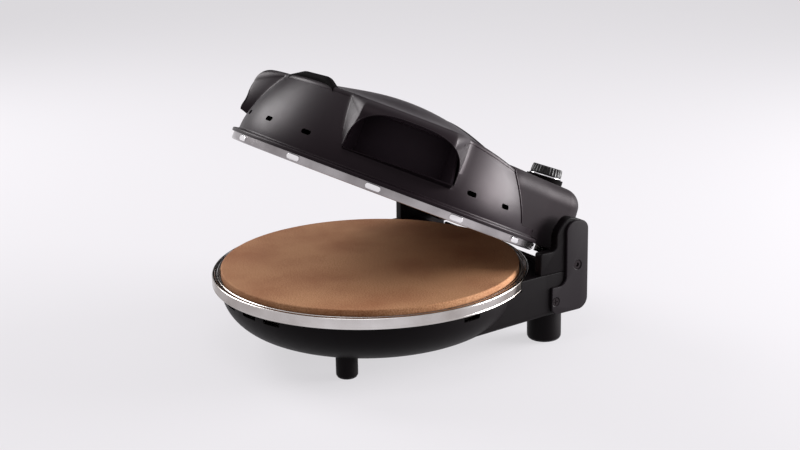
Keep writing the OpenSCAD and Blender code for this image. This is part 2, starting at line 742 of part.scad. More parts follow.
module lid_rim_clips() color(steel) on_lid() around([for (i = [0 : rim_clip_count - 1])
    -9 + i * 360 / rim_clip_count])
    rotate([0, 0, -90 - rim_clip_w / 2 / rim_r * 180 / PI])
        rotate_extrude(angle = rim_clip_w / rim_r * 180 / PI)
            polygon([[rim_r, shut_gap + 2], [rim_r + clip_t, shut_gap + 2.6],
                [rim_r + clip_t, lid_low - 0.8], [rim_r, lid_low - 0.2]]);

module upper_reflector() color(dull_steel) on_lid() difference() {
    rotate_extrude() polygon([
        [rim_r - sheet_t - 1, shut_gap + sheet_t], [rim_r - sheet_t - 1, shut_gap + 2 * sheet_t],
        [lid_liner_r + sheet_t, shut_gap + 2 * sheet_t],
        [deck_in_r - 1, deck_z - wall - 3], [deck_in_r - 8, reflector_top],
        [0, reflector_top], [0, reflector_top - sheet_t],
        [deck_in_r - 8.6, reflector_top - sheet_t],
        [deck_in_r - 2, deck_z - wall - 3.4], [lid_liner_r, shut_gap + sheet_t]
    ]);
    element_legs(upper_element_r, reflector_top - 5, reflector_top + 5, element_d / 2 + 1);
}

module lid_heat_shield() color(steel) on_lid() difference() {
    union() {
        translate([0, 0, reflector_top + 10]) cylinder(r = upper_element_r - 2, h = 0.8);
        around([0, 90, 180, 270]) translate([0, 38 - upper_element_r, reflector_top])
            cylinder(r = 3, h = 10 + bit);
    }
    element_legs(upper_element_r, reflector_top, reflector_top + 20, element_d / 2 + 2);
}

// ---------------------------------------------------------------- grips

well_wall = 2;
well_half = mouth_half + 1;
well_lip_r = hood_r - 11;                 // outer end of a well's floor

// black pocket behind a hood's mouth, open outwards
module grip_well(side) color(black) on_lid() rotate([0, 0, side * hood_dir - 90]) {
    rotate([0, 0, -well_half]) rotate_extrude(angle = 2 * well_half) polygon([
        [well_back_r, mouth_low - 2], [well_lip_r, mouth_low - 2], [well_lip_r, mouth_low],
        [well_back_r + well_wall, mouth_low], [well_back_r + well_wall, mouth_top - 2],
        [well_lip_r - 6, mouth_top - 2], [well_lip_r - 6, mouth_top], [well_back_r, mouth_top]
    ]);
    for (a = [-well_half, well_half - 1]) rotate([0, 0, a]) rotate_extrude(angle = 1)
        polygon([[well_back_r, mouth_low - 2], [well_lip_r, mouth_low - 2],
            [well_lip_r - 2, mouth_low + 8], [well_lip_r - 6, mouth_low + 18],
            [well_lip_r - 14, mouth_top - 7], [well_back_r, mouth_top]]);
}

module grip_well_right() grip_well(1);
module grip_well_left() grip_well(-1);

front_edge_r = skin_r(0, shoulder_z) - edge_round;
front_edge_z = top_z(0, -front_edge_r);
grip_back_y = -front_edge_r + 20;

// low black finger grip that leans forward over the front panel's top edge
module front_grip() color(black) on_lid() difference() {
    intersection() {
        side_slab(-front_grip_w / 2, front_grip_w) polygon(rounded([
            [-front_edge_r + 2, front_edge_z - 8, 0],
            [-front_edge_r - 4, front_edge_z + front_grip_h - 5, 3],
            [-front_edge_r + 1, front_edge_z + front_grip_h, 4],
            [-front_edge_r + 10, front_edge_z + front_grip_h - 1, 5],
            [grip_back_y, front_edge_z - 6, 0]]));
        translate([0, 0, front_edge_z - 8]) rotate([90, 0, 0]) linear_extrude(200)
            polygon(rounded([[-front_grip_w / 2, 0, 0], [front_grip_w / 2, 0, 0],
                [front_grip_w / 2 - 2, 9, 4], [front_grip_w / 2 - 26, front_grip_h + 8, 24],
                [-front_grip_w / 2 + 26, front_grip_h + 8, 24],
                [-front_grip_w / 2 + 2, 9, 4]]));
    }
    skin_block();
}

// solid body of the lid's outer form drawn in by t, for fitting pieces against it
module skin_block(t = 0) {
    outer = [for (j = [0 : rows - 1]) for (c = [0 : cols - 1]) skin_point(j, c, t)];
    n = rows * cols;
    polyhedron(
        points = concat(outer, [[0, 0, top_z(0, 0) - t], [0, 0, lid_low]]),
        faces = concat(
            ring_faces(0, false),
            [for (c = [0 : cols - 1]) [n - cols + c, n, n - cols + (c + 1) % cols]],
            [for (c = [0 : cols - 1]) [c, (c + 1) % cols, n + 1]]
        ),
        convexity = 6
    );
}

// ---------------------------------------------------------------- rear housing and hinge arms

neck_front_y = 60;
neck_waist_y = 115;
neck_pillow_r = 35;
neck_lean = 4;                            // draft of the side walls over their height

// upright cylinder with a rounded top edge, drawn in by g
module pillow(half, y, top, g) for (side = [-1, 1])
    translate([side * (half - neck_pillow_r), y, lid_low]) rotate_extrude($fn = 32)
        polygon(concat([[0, 0], [neck_pillow_r - g, 0]],
            arc(neck_pillow_r - neck_lean - neck_round, top - lid_low - neck_round,
                neck_round - g, 0, 90, 6),
            [[0, top - lid_low - g]]));

module neck_form(g) {
    hull() {
        pillow(neck_front_half, neck_front_y, neck_h, g);
        pillow(neck_waist_half, neck_waist_y, neck_h, g);
    }
    hull() {
        pillow(neck_waist_half, neck_waist_y, neck_h, g);
        pillow(neck_back_half, neck_back_y - neck_pillow_r, neck_h, g);
    }
}

module neck_cover() color(charcoal) on_lid() difference() {
    neck_form(0);
    translate([0, 0, -bit]) neck_form(wall);
    // the front stands on the dome's bulkhead, deck and flange
    along_seam(-200, 0, 220, 0);
    cylinder(r = flange_r, h = lid_low + 3.5);
    translate([0, 0, lid_low + 3.5]) cylinder(r1 = flange_r, r2 = foot_r, h = 2);
    translate([0, 0, -1]) cylinder(r = foot_r, h = deck_z + 1);
    dial_axis() translate([0, 0, -20]) cylinder(r = shaft_r + 0.6, h = 30);
    for (side = [-1, 1]) on_side(side)
        pin_x(eye_r + 0.4, arm_in - 5, arm_out + 3, hinge_y, hinge_z);
}

// plate that closes the rear housing from below
module neck_base() color(black) on_lid() difference() {
    intersection() {
        neck_form(wall);
        translate([-200, 0, 0]) cube([400, 300, lid_low + 2]);
    }
    cylinder(r = flange_r, h = 100);
    for (side = [-1, 1]) on_side(side)
        pin_x(eye_r + 0.4, arm_in - 5, arm_out + 3, hinge_y, hinge_z);
}

// bright strips under the side edges of the rear housing
trim_w = 6;

module neck_trim() color(bright) on_lid() for (side = [-1, 1]) on_side(side) difference() {
    translate([0, 0, shut_gap + 3.5]) linear_extrude(lid_low - shut_gap - 3.5) polygon([
        [neck_front_half - 9, neck_front_y + 20], [neck_waist_half + 1.5, neck_waist_y - 4],
        [neck_back_half + 0.5, neck_waist_y + 24], [neck_back_half + 0.5 - trim_w, neck_waist_y + 24],
        [neck_waist_half + 1.5 - trim_w, neck_waist_y - 4]]);
    cylinder(r = flange_r + 0.4, h = 60, center = true);
}

// strap under the rear housing that ends in a barrel round the hinge pin
module hinge_arm(side) color(black) on_lid() on_side(side) difference() {
    union() {
        pin_x(eye_r, arm_in, arm_out, hinge_y, hinge_z);
        translate([arm_in, neck_waist_y, shut_gap + 1.5])
            cube([arm_w - trim_w - 2.4, hinge_y - neck_waist_y, lid_low - shut_gap - 1.5]);
    }
    pin_x(pin_r + pin_clear + bush_wall, arm_in - 1, arm_out + 1, hinge_y, hinge_z);
    cylinder(r = flange_r + 0.4, h = 60, center = true);
}

module hinge_arm_right() hinge_arm(1);
module hinge_arm_left() hinge_arm(-1);

module hinge_bushes() color("#d9d4c8") on_lid() for (side = [-1, 1]) on_side(side) difference() {
    pin_x(pin_r + pin_clear + bush_wall, arm_in, arm_out, hinge_y, hinge_z);
    pin_x(pin_r + pin_clear, arm_in - 1, arm_out + 1, hinge_y, hinge_z);
}

// ---------------------------------------------------------------- timer and knob

// frame on the dial's seat, +Z along the knob's axis
module dial_axis() translate([knob_x, knob_y, dial_z]) rotate([dial_tilt, 0, 0]) children();

bezel_r = knob_d / 2 + 2;
timer_h = 22;

module dial_bezel() color(black) on_lid() difference() {
    dial_axis() difference() {
        translate([0, 0, -16]) cylinder(r = bezel_r, h = 16);
        translate([0, 0, -20]) cylinder(r = shaft_r + 0.6, h = 30);
    }
    neck_form(0);
}

module timer_body() color("#b9b6ae") on_lid() difference() {
    dial_axis() union() {
        translate([-21, -18, -16 - timer_h]) cube([42, 34, timer_h]);
        translate([0, 0, -16 - bit]) cylinder(r = shaft_r + 2.4, h = 3);
    }
    dial_axis() translate([0, 0, -28]) cylinder(r = shaft_r + 0.06, h = 30);
}

flutes = 24;

module timer_knob() color(black) on_lid() dial_axis()
    translate([0, 0, free + knob_ring_h]) difference() {
        intersection() {
            linear_extrude(knob_h) difference() {
                circle(d = knob_d - 0.6);
                for (i = [0 : flutes - 1]) rotate(i * 360 / flutes)
                    translate([knob_d / 2 + 0.5, 0]) circle(r = 1.3, $fn = 16);
            }
            rotate_extrude() polygon([[0, 0], [knob_d / 2, 0], [knob_d / 2, knob_h - 3],
                [knob_d / 2 - 2.6, knob_h], [0, knob_h]]);
        }
        translate([0, 0, -1]) cylinder(r = shaft_r, h = 7);
        translate([-0.8, knob_d / 2 - 11, knob_h - 0.6]) cube([1.6, 7, 2]);
    }

module knob_ring() color(bright) on_lid() dial_axis() translate([0, 0, free]) difference() {
    cylinder(d = knob_d, h = knob_ring_h);
    translate([0, 0, -1]) cylinder(r = shaft_r + 4, h = knob_ring_h + 2);
}

module timer_shaft() color(dull_steel) on_lid() dial_axis()
    translate([0, 0, -27]) cylinder(r = shaft_r, h = 27 + free + knob_ring_h + 6);

// ---------------------------------------------------------------- parts

base_housing();
base_rim();
stone_tray();
baking_stone();
lower_element();
lower_element_clips();
heat_shield();
thermostat();
thermal_fuse();
terminal_block();
cord_gland();
base_screws();
front_foot_right();
front_foot_left();
rear_foot_right();
rear_foot_left();
foot_pads();
hinge_tower_right();
hinge_tower_left();
hinge_plate_right();
hinge_plate_left();
plate_screws();
hinge_pin_right();
hinge_pin_left();
pin_clips();
lid_shell();
lid_rim();
lid_rim_clips();
upper_reflector();
lid_heat_shield();
upper_element();
upper_element_clips();
grip_well_right();
grip_well_left();
front_grip();
neck_cover();
neck_base();
neck_trim();
hinge_arm_right();
hinge_arm_left();
hinge_bushes();
dial_bezel();
timer_body();
timer_knob();
knob_ring();
timer_shaft();
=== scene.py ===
import json
from math import acos, atan2, copysign, cos, degrees, pi, radians, sin, tan

import bmesh
import bpy
import numpy as np
from mathutils import Matrix, Vector


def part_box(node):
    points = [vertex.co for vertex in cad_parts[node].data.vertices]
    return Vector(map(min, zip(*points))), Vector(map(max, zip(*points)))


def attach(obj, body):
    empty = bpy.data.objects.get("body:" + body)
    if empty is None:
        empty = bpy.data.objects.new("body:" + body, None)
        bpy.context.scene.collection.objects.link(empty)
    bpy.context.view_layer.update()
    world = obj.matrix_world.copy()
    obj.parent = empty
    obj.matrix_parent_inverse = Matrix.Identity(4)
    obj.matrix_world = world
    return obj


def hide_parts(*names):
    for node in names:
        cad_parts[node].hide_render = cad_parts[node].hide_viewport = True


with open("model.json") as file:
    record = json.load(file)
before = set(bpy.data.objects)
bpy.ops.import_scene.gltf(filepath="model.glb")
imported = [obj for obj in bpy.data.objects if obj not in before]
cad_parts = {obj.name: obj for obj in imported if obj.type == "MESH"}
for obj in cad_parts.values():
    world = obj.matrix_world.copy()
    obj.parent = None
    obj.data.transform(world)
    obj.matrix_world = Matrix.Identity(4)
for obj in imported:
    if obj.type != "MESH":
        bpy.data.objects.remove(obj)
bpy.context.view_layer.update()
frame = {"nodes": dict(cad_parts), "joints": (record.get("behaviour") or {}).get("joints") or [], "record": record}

# Countertop pizza oven. Pieces are worked out in millimetres from the middle of the base
# rim's top plane ("rim plane"), as for a shut lid, and then placed in the part's frame.

# ---- driving sizes, in mm

MM = 0.001
RIM_LOW, RIM_HIGH = (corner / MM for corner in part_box("base_rim"))
STONE_LOW, STONE_HIGH = (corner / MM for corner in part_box("baking_stone"))
HINGE = next(j for j in frame["joints"] if j["name"] == "lid_hinge")

rim_h = RIM_HIGH.z  # height of the rim plane above the table
frame_y = (RIM_LOW.y + RIM_HIGH.y) / 2  # middle of the rim in the part's frame
rim_r = (RIM_HIGH.x - RIM_LOW.x) / 2
stone_r = (STONE_HIGH.x - STONE_LOW.x) / 2
stone_top = STONE_HIGH.z - rim_h
stone_low = STONE_LOW.z - rim_h
hinge_y = HINGE["pos_m"][1] / MM - frame_y
hinge_z = HINGE["pos_m"][2] / MM - rim_h
lid_open = -HINGE["range_deg"][0]  # angle at which the lid stands in this frame

sheet_t = 1.0
wall = 2.6
base_band_h = 11.7
shut_gap = 0.5
lid_low = shut_gap + 8.5  # underside of the lid shell's flange
flange_r = rim_r + 2.5
foot_r = rim_r - 4
foot_z = lid_low + 7
hood_r = 176.0
hood_lean = 3.0  # how far a hood's face leans out at its foot
hood_lean_h = 40.0  # and over what height
hood_dir = 56.0  # degrees from the front
facet_h = 50.0  # height over which a hood's facets widen
fore_spread = (7.0, -3.0)  # by how many degrees: its crease and its face
rear_spread = (5.5, -5.0)
face_margin = 0.8  # degrees between a face's edge and the mouth's
mouth_half = 20.3  # half the mouth's width, in degrees
mouth_low = 32.0
mouth_top = 78.5
mouth_tilt = 3.0
mouth_power_fore = 0.70
mouth_power_rear = 0.64
mouth_share_fore = 0.95
lid_side_h = 74.0
front_rise = 11.7
cap_level_y = -40.0  # where the cap of the lid begins to fall
cap_fall_len = 80.0
cap_droop = 0.0015
crown_h = 102.0
crown_y = 3.0
crown_fall = 0.0022
crown_blend = 16.0
wall_lean = 27.0
edge_round = 5.0  # rounding between wall and top of the dome
hood_round = 15.0  # how much larger it is over a hood
shoulder_z = lid_side_h + 8
seam_y = 84.0
seam_lean = 0.47
deck_z = lid_low + 13
deck_in_r = rim_r - 19
reflector_top = 27.0
block_half_w = 142.0
block_back_y = 192.0
block_depth = 50.0
bowl_depth = 63.0
bowl_flat_r = 110.0
bowl_r = rim_r - 9
bowl_waist = -(base_band_h + 3.3)
shoulder_r = rim_r - 2.5
tower_t = 11.0
tower_in = block_half_w - tower_t
tower_h = 60.0
tower_shoulder_h = 24.0
plate_t = 3.0
neck_h = 78.0
neck_waist_half = tower_in - 4
neck_waist_y = 116.9
neck_draw = 0.0556  # how fast it narrows behind the waist
neck_back_half = neck_waist_half - 2
neck_front_half = 146.0
neck_arc_y = 60.0  # middle of the arc at its front
neck_slope_y = 71.4  # where the straight draw to the waist begins
neck_slope_half = 144.1
neck_slope = 0.3455
neck_back_y = 192.0
neck_corner_r = 35.0
neck_round = 20.0
neck_lean = 4.0
knob_x = 58.0
knob_y = 163.0
knob_r = 19.0
knob_h = 9.6
ring_h = 2.0
dial_z = 84.0
dial_tilt = 4.5


# ---- placing and meshes

def on_base(points):
    """Rim-plane millimetres of the base to metres in the part's frame."""
    return (points + [0, frame_y, rim_h]) * MM


def turned(u, v, angle):
    """A pair of coordinates, turned from the first towards the second."""
    c, s = cos(radians(angle)), sin(radians(angle))
    return u * c - v * s, u * s + v * c


def on_lid(points):
    """Rim-plane millimetres of the shut lid to metres in the part's frame, swung open."""
    x, y, z = np.moveaxis(points, -1, 0)
    y, z = turned(y - hinge_y, z - hinge_z, -lid_open)
    return on_base(np.stack([x, hinge_y + y, hinge_z + z], -1))


def new_object(name, points, faces):
    """Mesh object with doubled corners merged and its normals outwards."""
    mesh = bpy.data.meshes.new(name)
    mesh.from_pydata(points.tolist(), [], faces)
    work = bmesh.new()
    work.from_mesh(mesh)
    bmesh.ops.remove_doubles(work, verts=work.verts, dist=2e-6)
    bmesh.ops.recalc_face_normals(work, faces=work.faces)
    work.to_mesh(mesh)
    work.free()
    thing = bpy.data.objects.new(name, mesh)
    bpy.context.scene.collection.objects.link(thing)
    return thing


def apply_modifiers(thing):
    """Replaces an object's mesh by what its modifiers make of it."""
    made = bpy.data.meshes.new_from_object(
        thing.evaluated_get(bpy.context.evaluated_depsgraph_get()))
    thing.modifiers.clear()
    thing.data = made


def cut(thing, tools, placed=on_lid, operation="DIFFERENCE", fan=True):
    """Cuts closed tools, given as rings of points, out of an object."""
    for points in tools:
        tool = solid("tool", points, placed, fan=fan)
        cutter = thing.modifiers.new("cut", "BOOLEAN")
        cutter.operation = operation
        cutter.solver = "EXACT"
        cutter.object = tool
        apply_modifiers(thing)
        bpy.data.objects.remove(tool)


def quads(rows, cols, down, over):
    """Faces of a grid, over its first down rows and over columns; both may close."""
    r, c = np.meshgrid(np.arange(down), np.arange(over), indexing="ij")
    r1, c1 = (r + 1) % rows, (c + 1) % cols
    return np.stack([r * cols + c, r * cols + c1, r1 * cols + c1, r1 * cols + c],
                    -1).reshape(-1, 4).tolist()


def surface(points, loop=False, fan=True):
    """Closed mesh over a grid of rings, points[ring, place]: a loop of rings, or a stack
    whose two ends are closed by a fan to their middle or by one flat face."""
    rows, cols = points.shape[:2]
    faces = quads(rows, cols, rows if loop else rows - 1, cols)
    flat = points.reshape(-1, 3)
    if loop:
        return flat, faces
    ring = np.arange(cols)
    last = (rows - 1) * cols
    if not fan:
        return flat, faces + [ring[::-1].tolist(), (last + ring).tolist()]
    after = np.roll(ring, -1)
    low = np.stack([after, ring, np.full(cols, rows * cols)], 1)
    high = np.stack([last + ring, last + after, np.full(cols, rows * cols + 1)], 1)
    flat = np.vstack([flat, points[[0, -1]].mean(axis=1)])
    return flat, faces + low.tolist() + high.tolist()


def solid(name, points, placed=on_lid, **ends):
    """Object over rings of points, which are placed on the lid or on the base."""
    return new_object(name, *surface(placed(points), **ends))


def unit(v):
    return v / np.linalg.norm(v, axis=-1, keepdims=True)


def rounded(corners, n):
    """Closed outline with an arc in each corner; a corner is (x, y, radius)."""
    parts = []
    for i, (x, y, radius) in enumerate(corners):
        p = np.array([x, y], float)
        if radius <= 0:
            parts.append(p[None])
            continue
        u = unit(corners[i - 1][:2] - p)
        v = unit(corners[(i + 1) % len(corners)][:2] - p)
        half = acos(np.clip(u @ v, -1, 1)) / 2
        middle = p + unit(u + v) * radius / sin(half)
        a, b = (p + w * radius / tan(half) - middle for w in (u, v))
        a0 = atan2(a[1], a[0])
        turn = (atan2(b[1], b[0]) - a0 + pi) % (2 * pi) - pi
        angles = a0 + turn * np.linspace(0, 1, n + 1)
        parts.append(middle + radius * np.stack([np.cos(angles), np.sin(angles)], 1))
    return np.vstack(parts)


def lathe(profile, n=224, start=0.0, end=360.0):
    """Rings of a (radius, height) profile about the upright axis: each of its points makes
    one ring, x = radius * cos(angle), y = radius * sin(angle)."""
    whole = end - start >= 360
    angles = np.radians(np.linspace(start, end, n, endpoint=not whole))
    r, z = np.asarray(profile, float).T
    return np.stack([np.outer(r, np.cos(angles)), np.outer(r, np.sin(angles)),
                     np.repeat(z[:, None], n, 1)], -1)


def turned_bar(profile, start, end, n=64):
    """Bar with a closed (radius, height) profile, bent from one direction to another."""
    return lathe(profile, n, start, end).transpose(1, 0, 2)


def counter_clockwise(outline):
    x, y = outline.T
    area = np.sum(x * np.roll(y, -1) - y * np.roll(x, -1))
    return outline if area > 0 else outline[::-1]


def prism(outline, low, high, edge=0.8, edge_high=None, steps=5):
    """Rings over an outline between two heights; each rim is a quarter round, so at angle t
    the ring stands edge * (1 - cos t) from the end and edge * (1 - sin t) inside."""
    edge_high = edge if edge_high is None else edge_high
    t = np.radians(np.linspace(0, 90, steps + 1))
    rise, draw = 1 - np.cos(t), 1 - np.sin(t)
    heights = np.concatenate([low + edge * rise, (high - edge_high * rise)[::-1]])
    depths = np.concatenate([edge * draw, (edge_high * draw)[::-1]])[:, None, None]
    outline = counter_clockwise(outline)
    along = unit(np.roll(outline, -1, 0) - np.roll(outline, 1, 0))
    flat = outline + depths * np.stack([-along[:, 1], along[:, 0]], 1)
    return np.concatenate([flat, np.repeat(heights[:, None, None], flat.shape[1], 1)], -1)


def sideways(points):
    """Turns a prism drawn in (y, z) so that it rises along x."""
    return points[..., [2, 0, 1]]


def mirrored(points, side):
    return points * [side, 1, 1]


def swung(points, angle):
    """Turns points about the upright axis."""
    x, y, z = np.moveaxis(points, -1, 0)
    return np.stack([*turned(x, y, angle), z], -1)


def tube(path, radius, sides=28, ahead=None, loop=False):
    """Round tube along a path that may close. Its rings stand across the path, turned from
    the direction ahead or else from the one away from the upright axis."""
    step = np.roll(path, -1, 0) - np.roll(path, 1, 0) if loop else np.gradient(path, axis=0)
    along = unit(step)
    outward = unit(path * [1, 1, 0] if ahead is None else np.array(ahead, float))
    outward = unit(outward - along * np.sum(outward * along, -1, keepdims=True))
    third = np.cross(along, outward)
    a = np.linspace(0, 2 * np.pi, sides, endpoint=False)[None, :, None]
    return path[:, None] + radius * (outward[:, None] * np.cos(a) + third[:, None] * np.sin(a))


SIDES = ((1, "right"), (-1, "left"))


# ---- materials

def linear(code):
    """Linear colour of an sRGB hex code."""
    parts = [int(code[i:i + 2], 16) / 255 for i in (1, 3, 5)]
    return [p / 12.92 if p <= 0.04045 else ((p + 0.055) / 1.055) ** 2.4 for p in parts] + [1.0]


def fill(tree, node, inputs):
    """Gives each input, by name or number, a value or the output that feeds it."""
    for key, value in inputs.items():
        if isinstance(value, bpy.types.NodeSocket):
            tree.links.new(value, node.inputs[key])
        else:
            node.inputs[key].default_value = value


def add(tree, kind, inputs=None, **settings):
    """Adds one shader node with its own settings and with what its inputs hold."""
    node = tree.nodes.new("ShaderNode" + kind)
    for key, value in settings.items():
        setattr(node, key, value)
    fill(tree, node, inputs or {})
    return node


def ramp(tree, factor, *stops):
    """Colour ramp fed by a factor, with (place, colour code) stops."""
    node = add(tree, "ValToRGB", {"Fac": factor})
    elements = node.color_ramp.elements
    for i, (place, code) in enumerate(stops):
        element = elements[i] if i < 2 else elements.new(place)
        element.position = place
        element.color = linear(code)
    return node.outputs["Color"]


def start_material(name):
    """New material with its principled shader and the object's own coordinates."""
    material = bpy.data.materials.new(name)
    material.use_nodes = True
    tree = material.node_tree
    place = add(tree, "TexCoord").outputs["Object"]
    return material, tree, tree.nodes["Principled BSDF"], place


def noise(tree, place, grain_mm, detail=4.0, stretch=None):
    """Noise whose largest features are about grain_mm across, stretched if asked."""
    if stretch:
        place = add(tree, "Mapping", {"Vector": place, "Scale": stretch}).outputs[0]
    return add(tree, "TexNoise", {"Vector": place, "Scale": 1 / (grain_mm * MM),
                                  "Detail": detail}).outputs["Fac"]


def band(tree, factor, low, high):
    """Maps a 0 to 1 factor to the range from low to high."""
    return add(tree, "MapRange", {"Value": factor, "To Min": low,
                                  "To Max": high}).outputs["Result"]


def bump(tree, height, depth_mm, strength=1.0):
    return add(tree, "Bump", {"Height": height, "Strength": strength,
                              "Distance": depth_mm * MM}).outputs["Normal"]


def moulding(name, dark, light, rough_low, rough_high, grain_mm, grain_depth, shine=0.5,
             tint="#ffffff"):
    """Moulded or painted skin: a slow drift of tone, handling marks that dull the gloss,
    and a very fine grain that breaks up reflections."""
    material, tree, shader, place = start_material(name)
    drift = noise(tree, place, 60)
    marks = noise(tree, place, 9, 6)
    grain = noise(tree, place, grain_mm, 2)
    fill(tree, shader, {
        "Base Color": ramp(tree, drift, (0.3, dark), (0.75, light)),
        "Roughness": band(tree, marks, rough_low, rough_high),
        "Specular IOR Level": shine, "Specular Tint": linear(tint),
        "Normal": bump(tree, grain, grain_depth)})
    return material


def sheet_metal(name, tone, second, rough_low, rough_high, grain_mm, stretch=(1, 1, 1),
                patch_mm=35):
    """Rolled or polished sheet: fine drawing lines that vary the gloss, and patches of a
    second tone: heat tint and oxide on the tray, reflector and elements, and on the steel
    rims painted reflection, dark and light patches of a varied room."""
    material, tree, shader, place = start_material(name)
    # patches of the second tone: heat tint and oxide on the tray and elements, painted reflection on the steel
    # rims
    heat_tint_and_painted_reflection = noise(tree, place, patch_mm, 5)
    lines = noise(tree, place, grain_mm, 3, stretch)
    fill(tree, shader, {
        "Base Color": ramp(tree, heat_tint_and_painted_reflection, (0.3, tone), (0.7, second)), "Metallic": 1.0,
        "Roughness": band(tree, lines, rough_low, rough_high),
        "Normal": bump(tree, lines, 0.01, 0.5)})
    return material


def baked_stone():
    """Fired cordierite: warm sand body with fine pale and dark grit, a pitted matt skin,
    and a slow browning from use."""
    material, tree, shader, place = start_material("Cordierite stone")
    grit = noise(tree, place, 1.4, 6)
    browning = noise(tree, place, 70, 3)
    body = ramp(tree, grit, (0.3, "#96643f"), (0.52, "#b9855c"), (0.75, "#cf9f78"))
    toast = ramp(tree, browning, (0.4, "#ffffff"), (0.8, "#c8a284"))
    mix = add(tree, "Mix", {"Factor": 0.8, 6: body, 7: toast}, data_type="RGBA",
              blend_type="MULTIPLY")
    pits = add(tree, "TexVoronoi", {"Vector": place, "Scale": 1 / (2.4 * MM)})
    fill(tree, shader, {
        "Base Color": mix.outputs[2], "Roughness": 0.85,
        "Normal": bump(tree, pits.outputs["Distance"], 0.12, 0.6)})
    return material


# Each row: name, darkest and lightest colour, least and greatest roughness, size and depth
# of the grain in mm, shine and the tint of reflections.
MOULDINGS = {
    # glossy ABS of the lid: broad soft reflections over a hard, warm near-black body
    "charcoal_shell": ("Glossy charcoal ABS", "#161014", "#1b1418", 0.34, 0.44, 0.25, 0.002,
                       0.14, "#f4dfe8"),
    # the same ABS with a duller skin on the rear housing, so that the seam shows as a step
    "neck_satin": ("Satin charcoal ABS", "#130e11", "#181215", 0.46, 0.56, 0.4, 0.006, 0.10,
                   "#f4dfe8"),
    # plainer ABS of the base and hinge parts: darker, with a satin skin
    "black_shell": ("Satin black ABS", "#0c080a", "#0f0b0d", 0.42, 0.54, 0.4, 0.006, 0.08),
    # the wells' black ABS, painted lighter than the lid as fill light, so that their depth reads in the shade
    "well_painted_fill": ("Black ABS well with painted fill light", "#382e35", "#3e343a", 0.5, 0.65, 0.5, 0.01, 0.08),
    # the knob's ABS: a tight highlight on each flute
    "knob_black": ("Knob ABS", "#0c090a", "#100c0e", 0.3, 0.42, 0.4, 0.004, 0.2),
    # phenolic of the grips, which take the heat: dull and slightly grained
    "black_grip": ("Black phenolic", "#060405", "#090607", 0.75, 0.9, 0.5, 0.01, 0.04),
    # powder paint on the hinge's side plates: warm grey black with orange peel
    "plate_paint": ("Powder coated plate", "#140e12", "#191217", 0.5, 0.62, 0.8, 0.012, 0.15),
    # rubber of the feet's pads: dull and grainy
    "pad_rubber": ("Moulded rubber", "#19171a", "#242124", 0.75, 0.9, 0.7, 0.05),
    # inner parts: milky bushes, glazed blocks and the timer's case under the dial
    "bush_nylon": ("Natural nylon", "#b9b2a4", "#cfc8ba", 0.45, 0.6, 1.0, 0.03),
    "ceramic": ("Glazed ceramic", "#d9d3c5", "#e6e1d4", 0.25, 0.4, 1.0, 0.02),
    "timer_case": ("Timer case", "#8f8a80", "#9b968c", 0.5, 0.65, 1.0, 0.02),
}
# Each row: name, two tones, least and greatest roughness, size of the drawing lines in mm,
# their stretch and the size of the patches in mm.
METALS = {
    # polished stainless rims: near mirror with faint turning lines round the oven; their two
    # tones are painted reflection, dark and light patches of a varied room, warm brown on the base rim
    "rim_steel": ("Polished stainless", "#83786f", "#dcd9d8", 0.12, 0.26, 2.0, (0.3, 0.3, 8),
                  110),
    "lid_steel": ("Brushed stainless", "#767172", "#cdc9ca", 0.16, 0.30, 2.0, (0.3, 0.3, 8),
                  90),
    # pressed aluminium of the tray and reflector, tinted by heat, and the plain shields
    "tray_aluminium": ("Pressed aluminium", "#a9a6a4", "#8f877c", 0.3, 0.48, 1.6),
    "shield_sheet": ("Galvanised sheet", "#a3a4a6", "#a3a4a6", 0.35, 0.55, 6.0),
    # Incoloy tube of the elements: dark, oxidised, a little uneven
    "element_steel": ("Oxidised element tube", "#5b5552", "#463c36", 0.38, 0.55, 1.5),
    # small bright parts, and blackened screws that keep a hard glint
    "clip_steel": ("Spring steel", "#f0eeef", "#f0eeef", 0.10, 0.2, 1.2),
    "knob_chrome": ("Chrome plate", "#e4e3e5", "#e4e3e5", 0.05, 0.12, 3.0),
    "screw_steel": ("Blackened screw", "#383335", "#383335", 0.14, 0.26, 0.8),
}
LOOKS = {slot: moulding(*row) for slot, row in MOULDINGS.items()}
LOOKS.update({slot: sheet_metal(*row) for slot, row in METALS.items()}, stone=baked_stone())
# the grip wells take the black ABS that is painted lighter as fill light
LOOK_OF_NODE = {"neck_cover": "neck_satin", "neck_base": "neck_satin", "lid_rim": "lid_steel",
                "grip_well_right": "well_painted_fill", "grip_well_left": "well_painted_fill"}
SLOT_OF_NODE = {row["node"]: row["material_slot"] for row in frame["record"]["subparts"]}
BODY_OF_NODE = {name: body for body, names in frame["record"]["behaviour"]["bodies"].items()
                for name in names}


def dress(thing, *nodes, sharp=34, slot=None):
    """Smooth shading of a piece, with the material picked by the slot of the CAD node that it
    stands for, and that node's body."""
    slot = slot or SLOT_OF_NODE[nodes[0]]
    body = BODY_OF_NODE[nodes[0]]
    thing.data.materials.clear()
    thing.data.materials.append(LOOKS[LOOK_OF_NODE.get(nodes[0], slot)])
    thing.data.shade_smooth()
    thing.data.set_sharp_from_angle(angle=radians(sharp))
    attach(thing, body)
    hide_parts(*nodes)


# ---- lid skin

def soft_max(a, b, k):
    return (a + b + np.sqrt((a - b) ** 2 + k * k)) / 2


def soft_share(x, k):
    """Clamps a value between 0 and 1 with rounded corners of size k."""
    return 1 - soft_max(1 - soft_max(x, 0, k), 0, k)


def dome_r(z):
    """Radius of the plain dome wall: foot_r at the foot, leaning in by
    wall_lean * ((z - foot_z) / (shoulder_z - foot_z)) ** 1.7."""
    share = np.clip((z - foot_z) / (shoulder_z - foot_z), 0, None)
    return foot_r - wall_lean * share ** 1.7


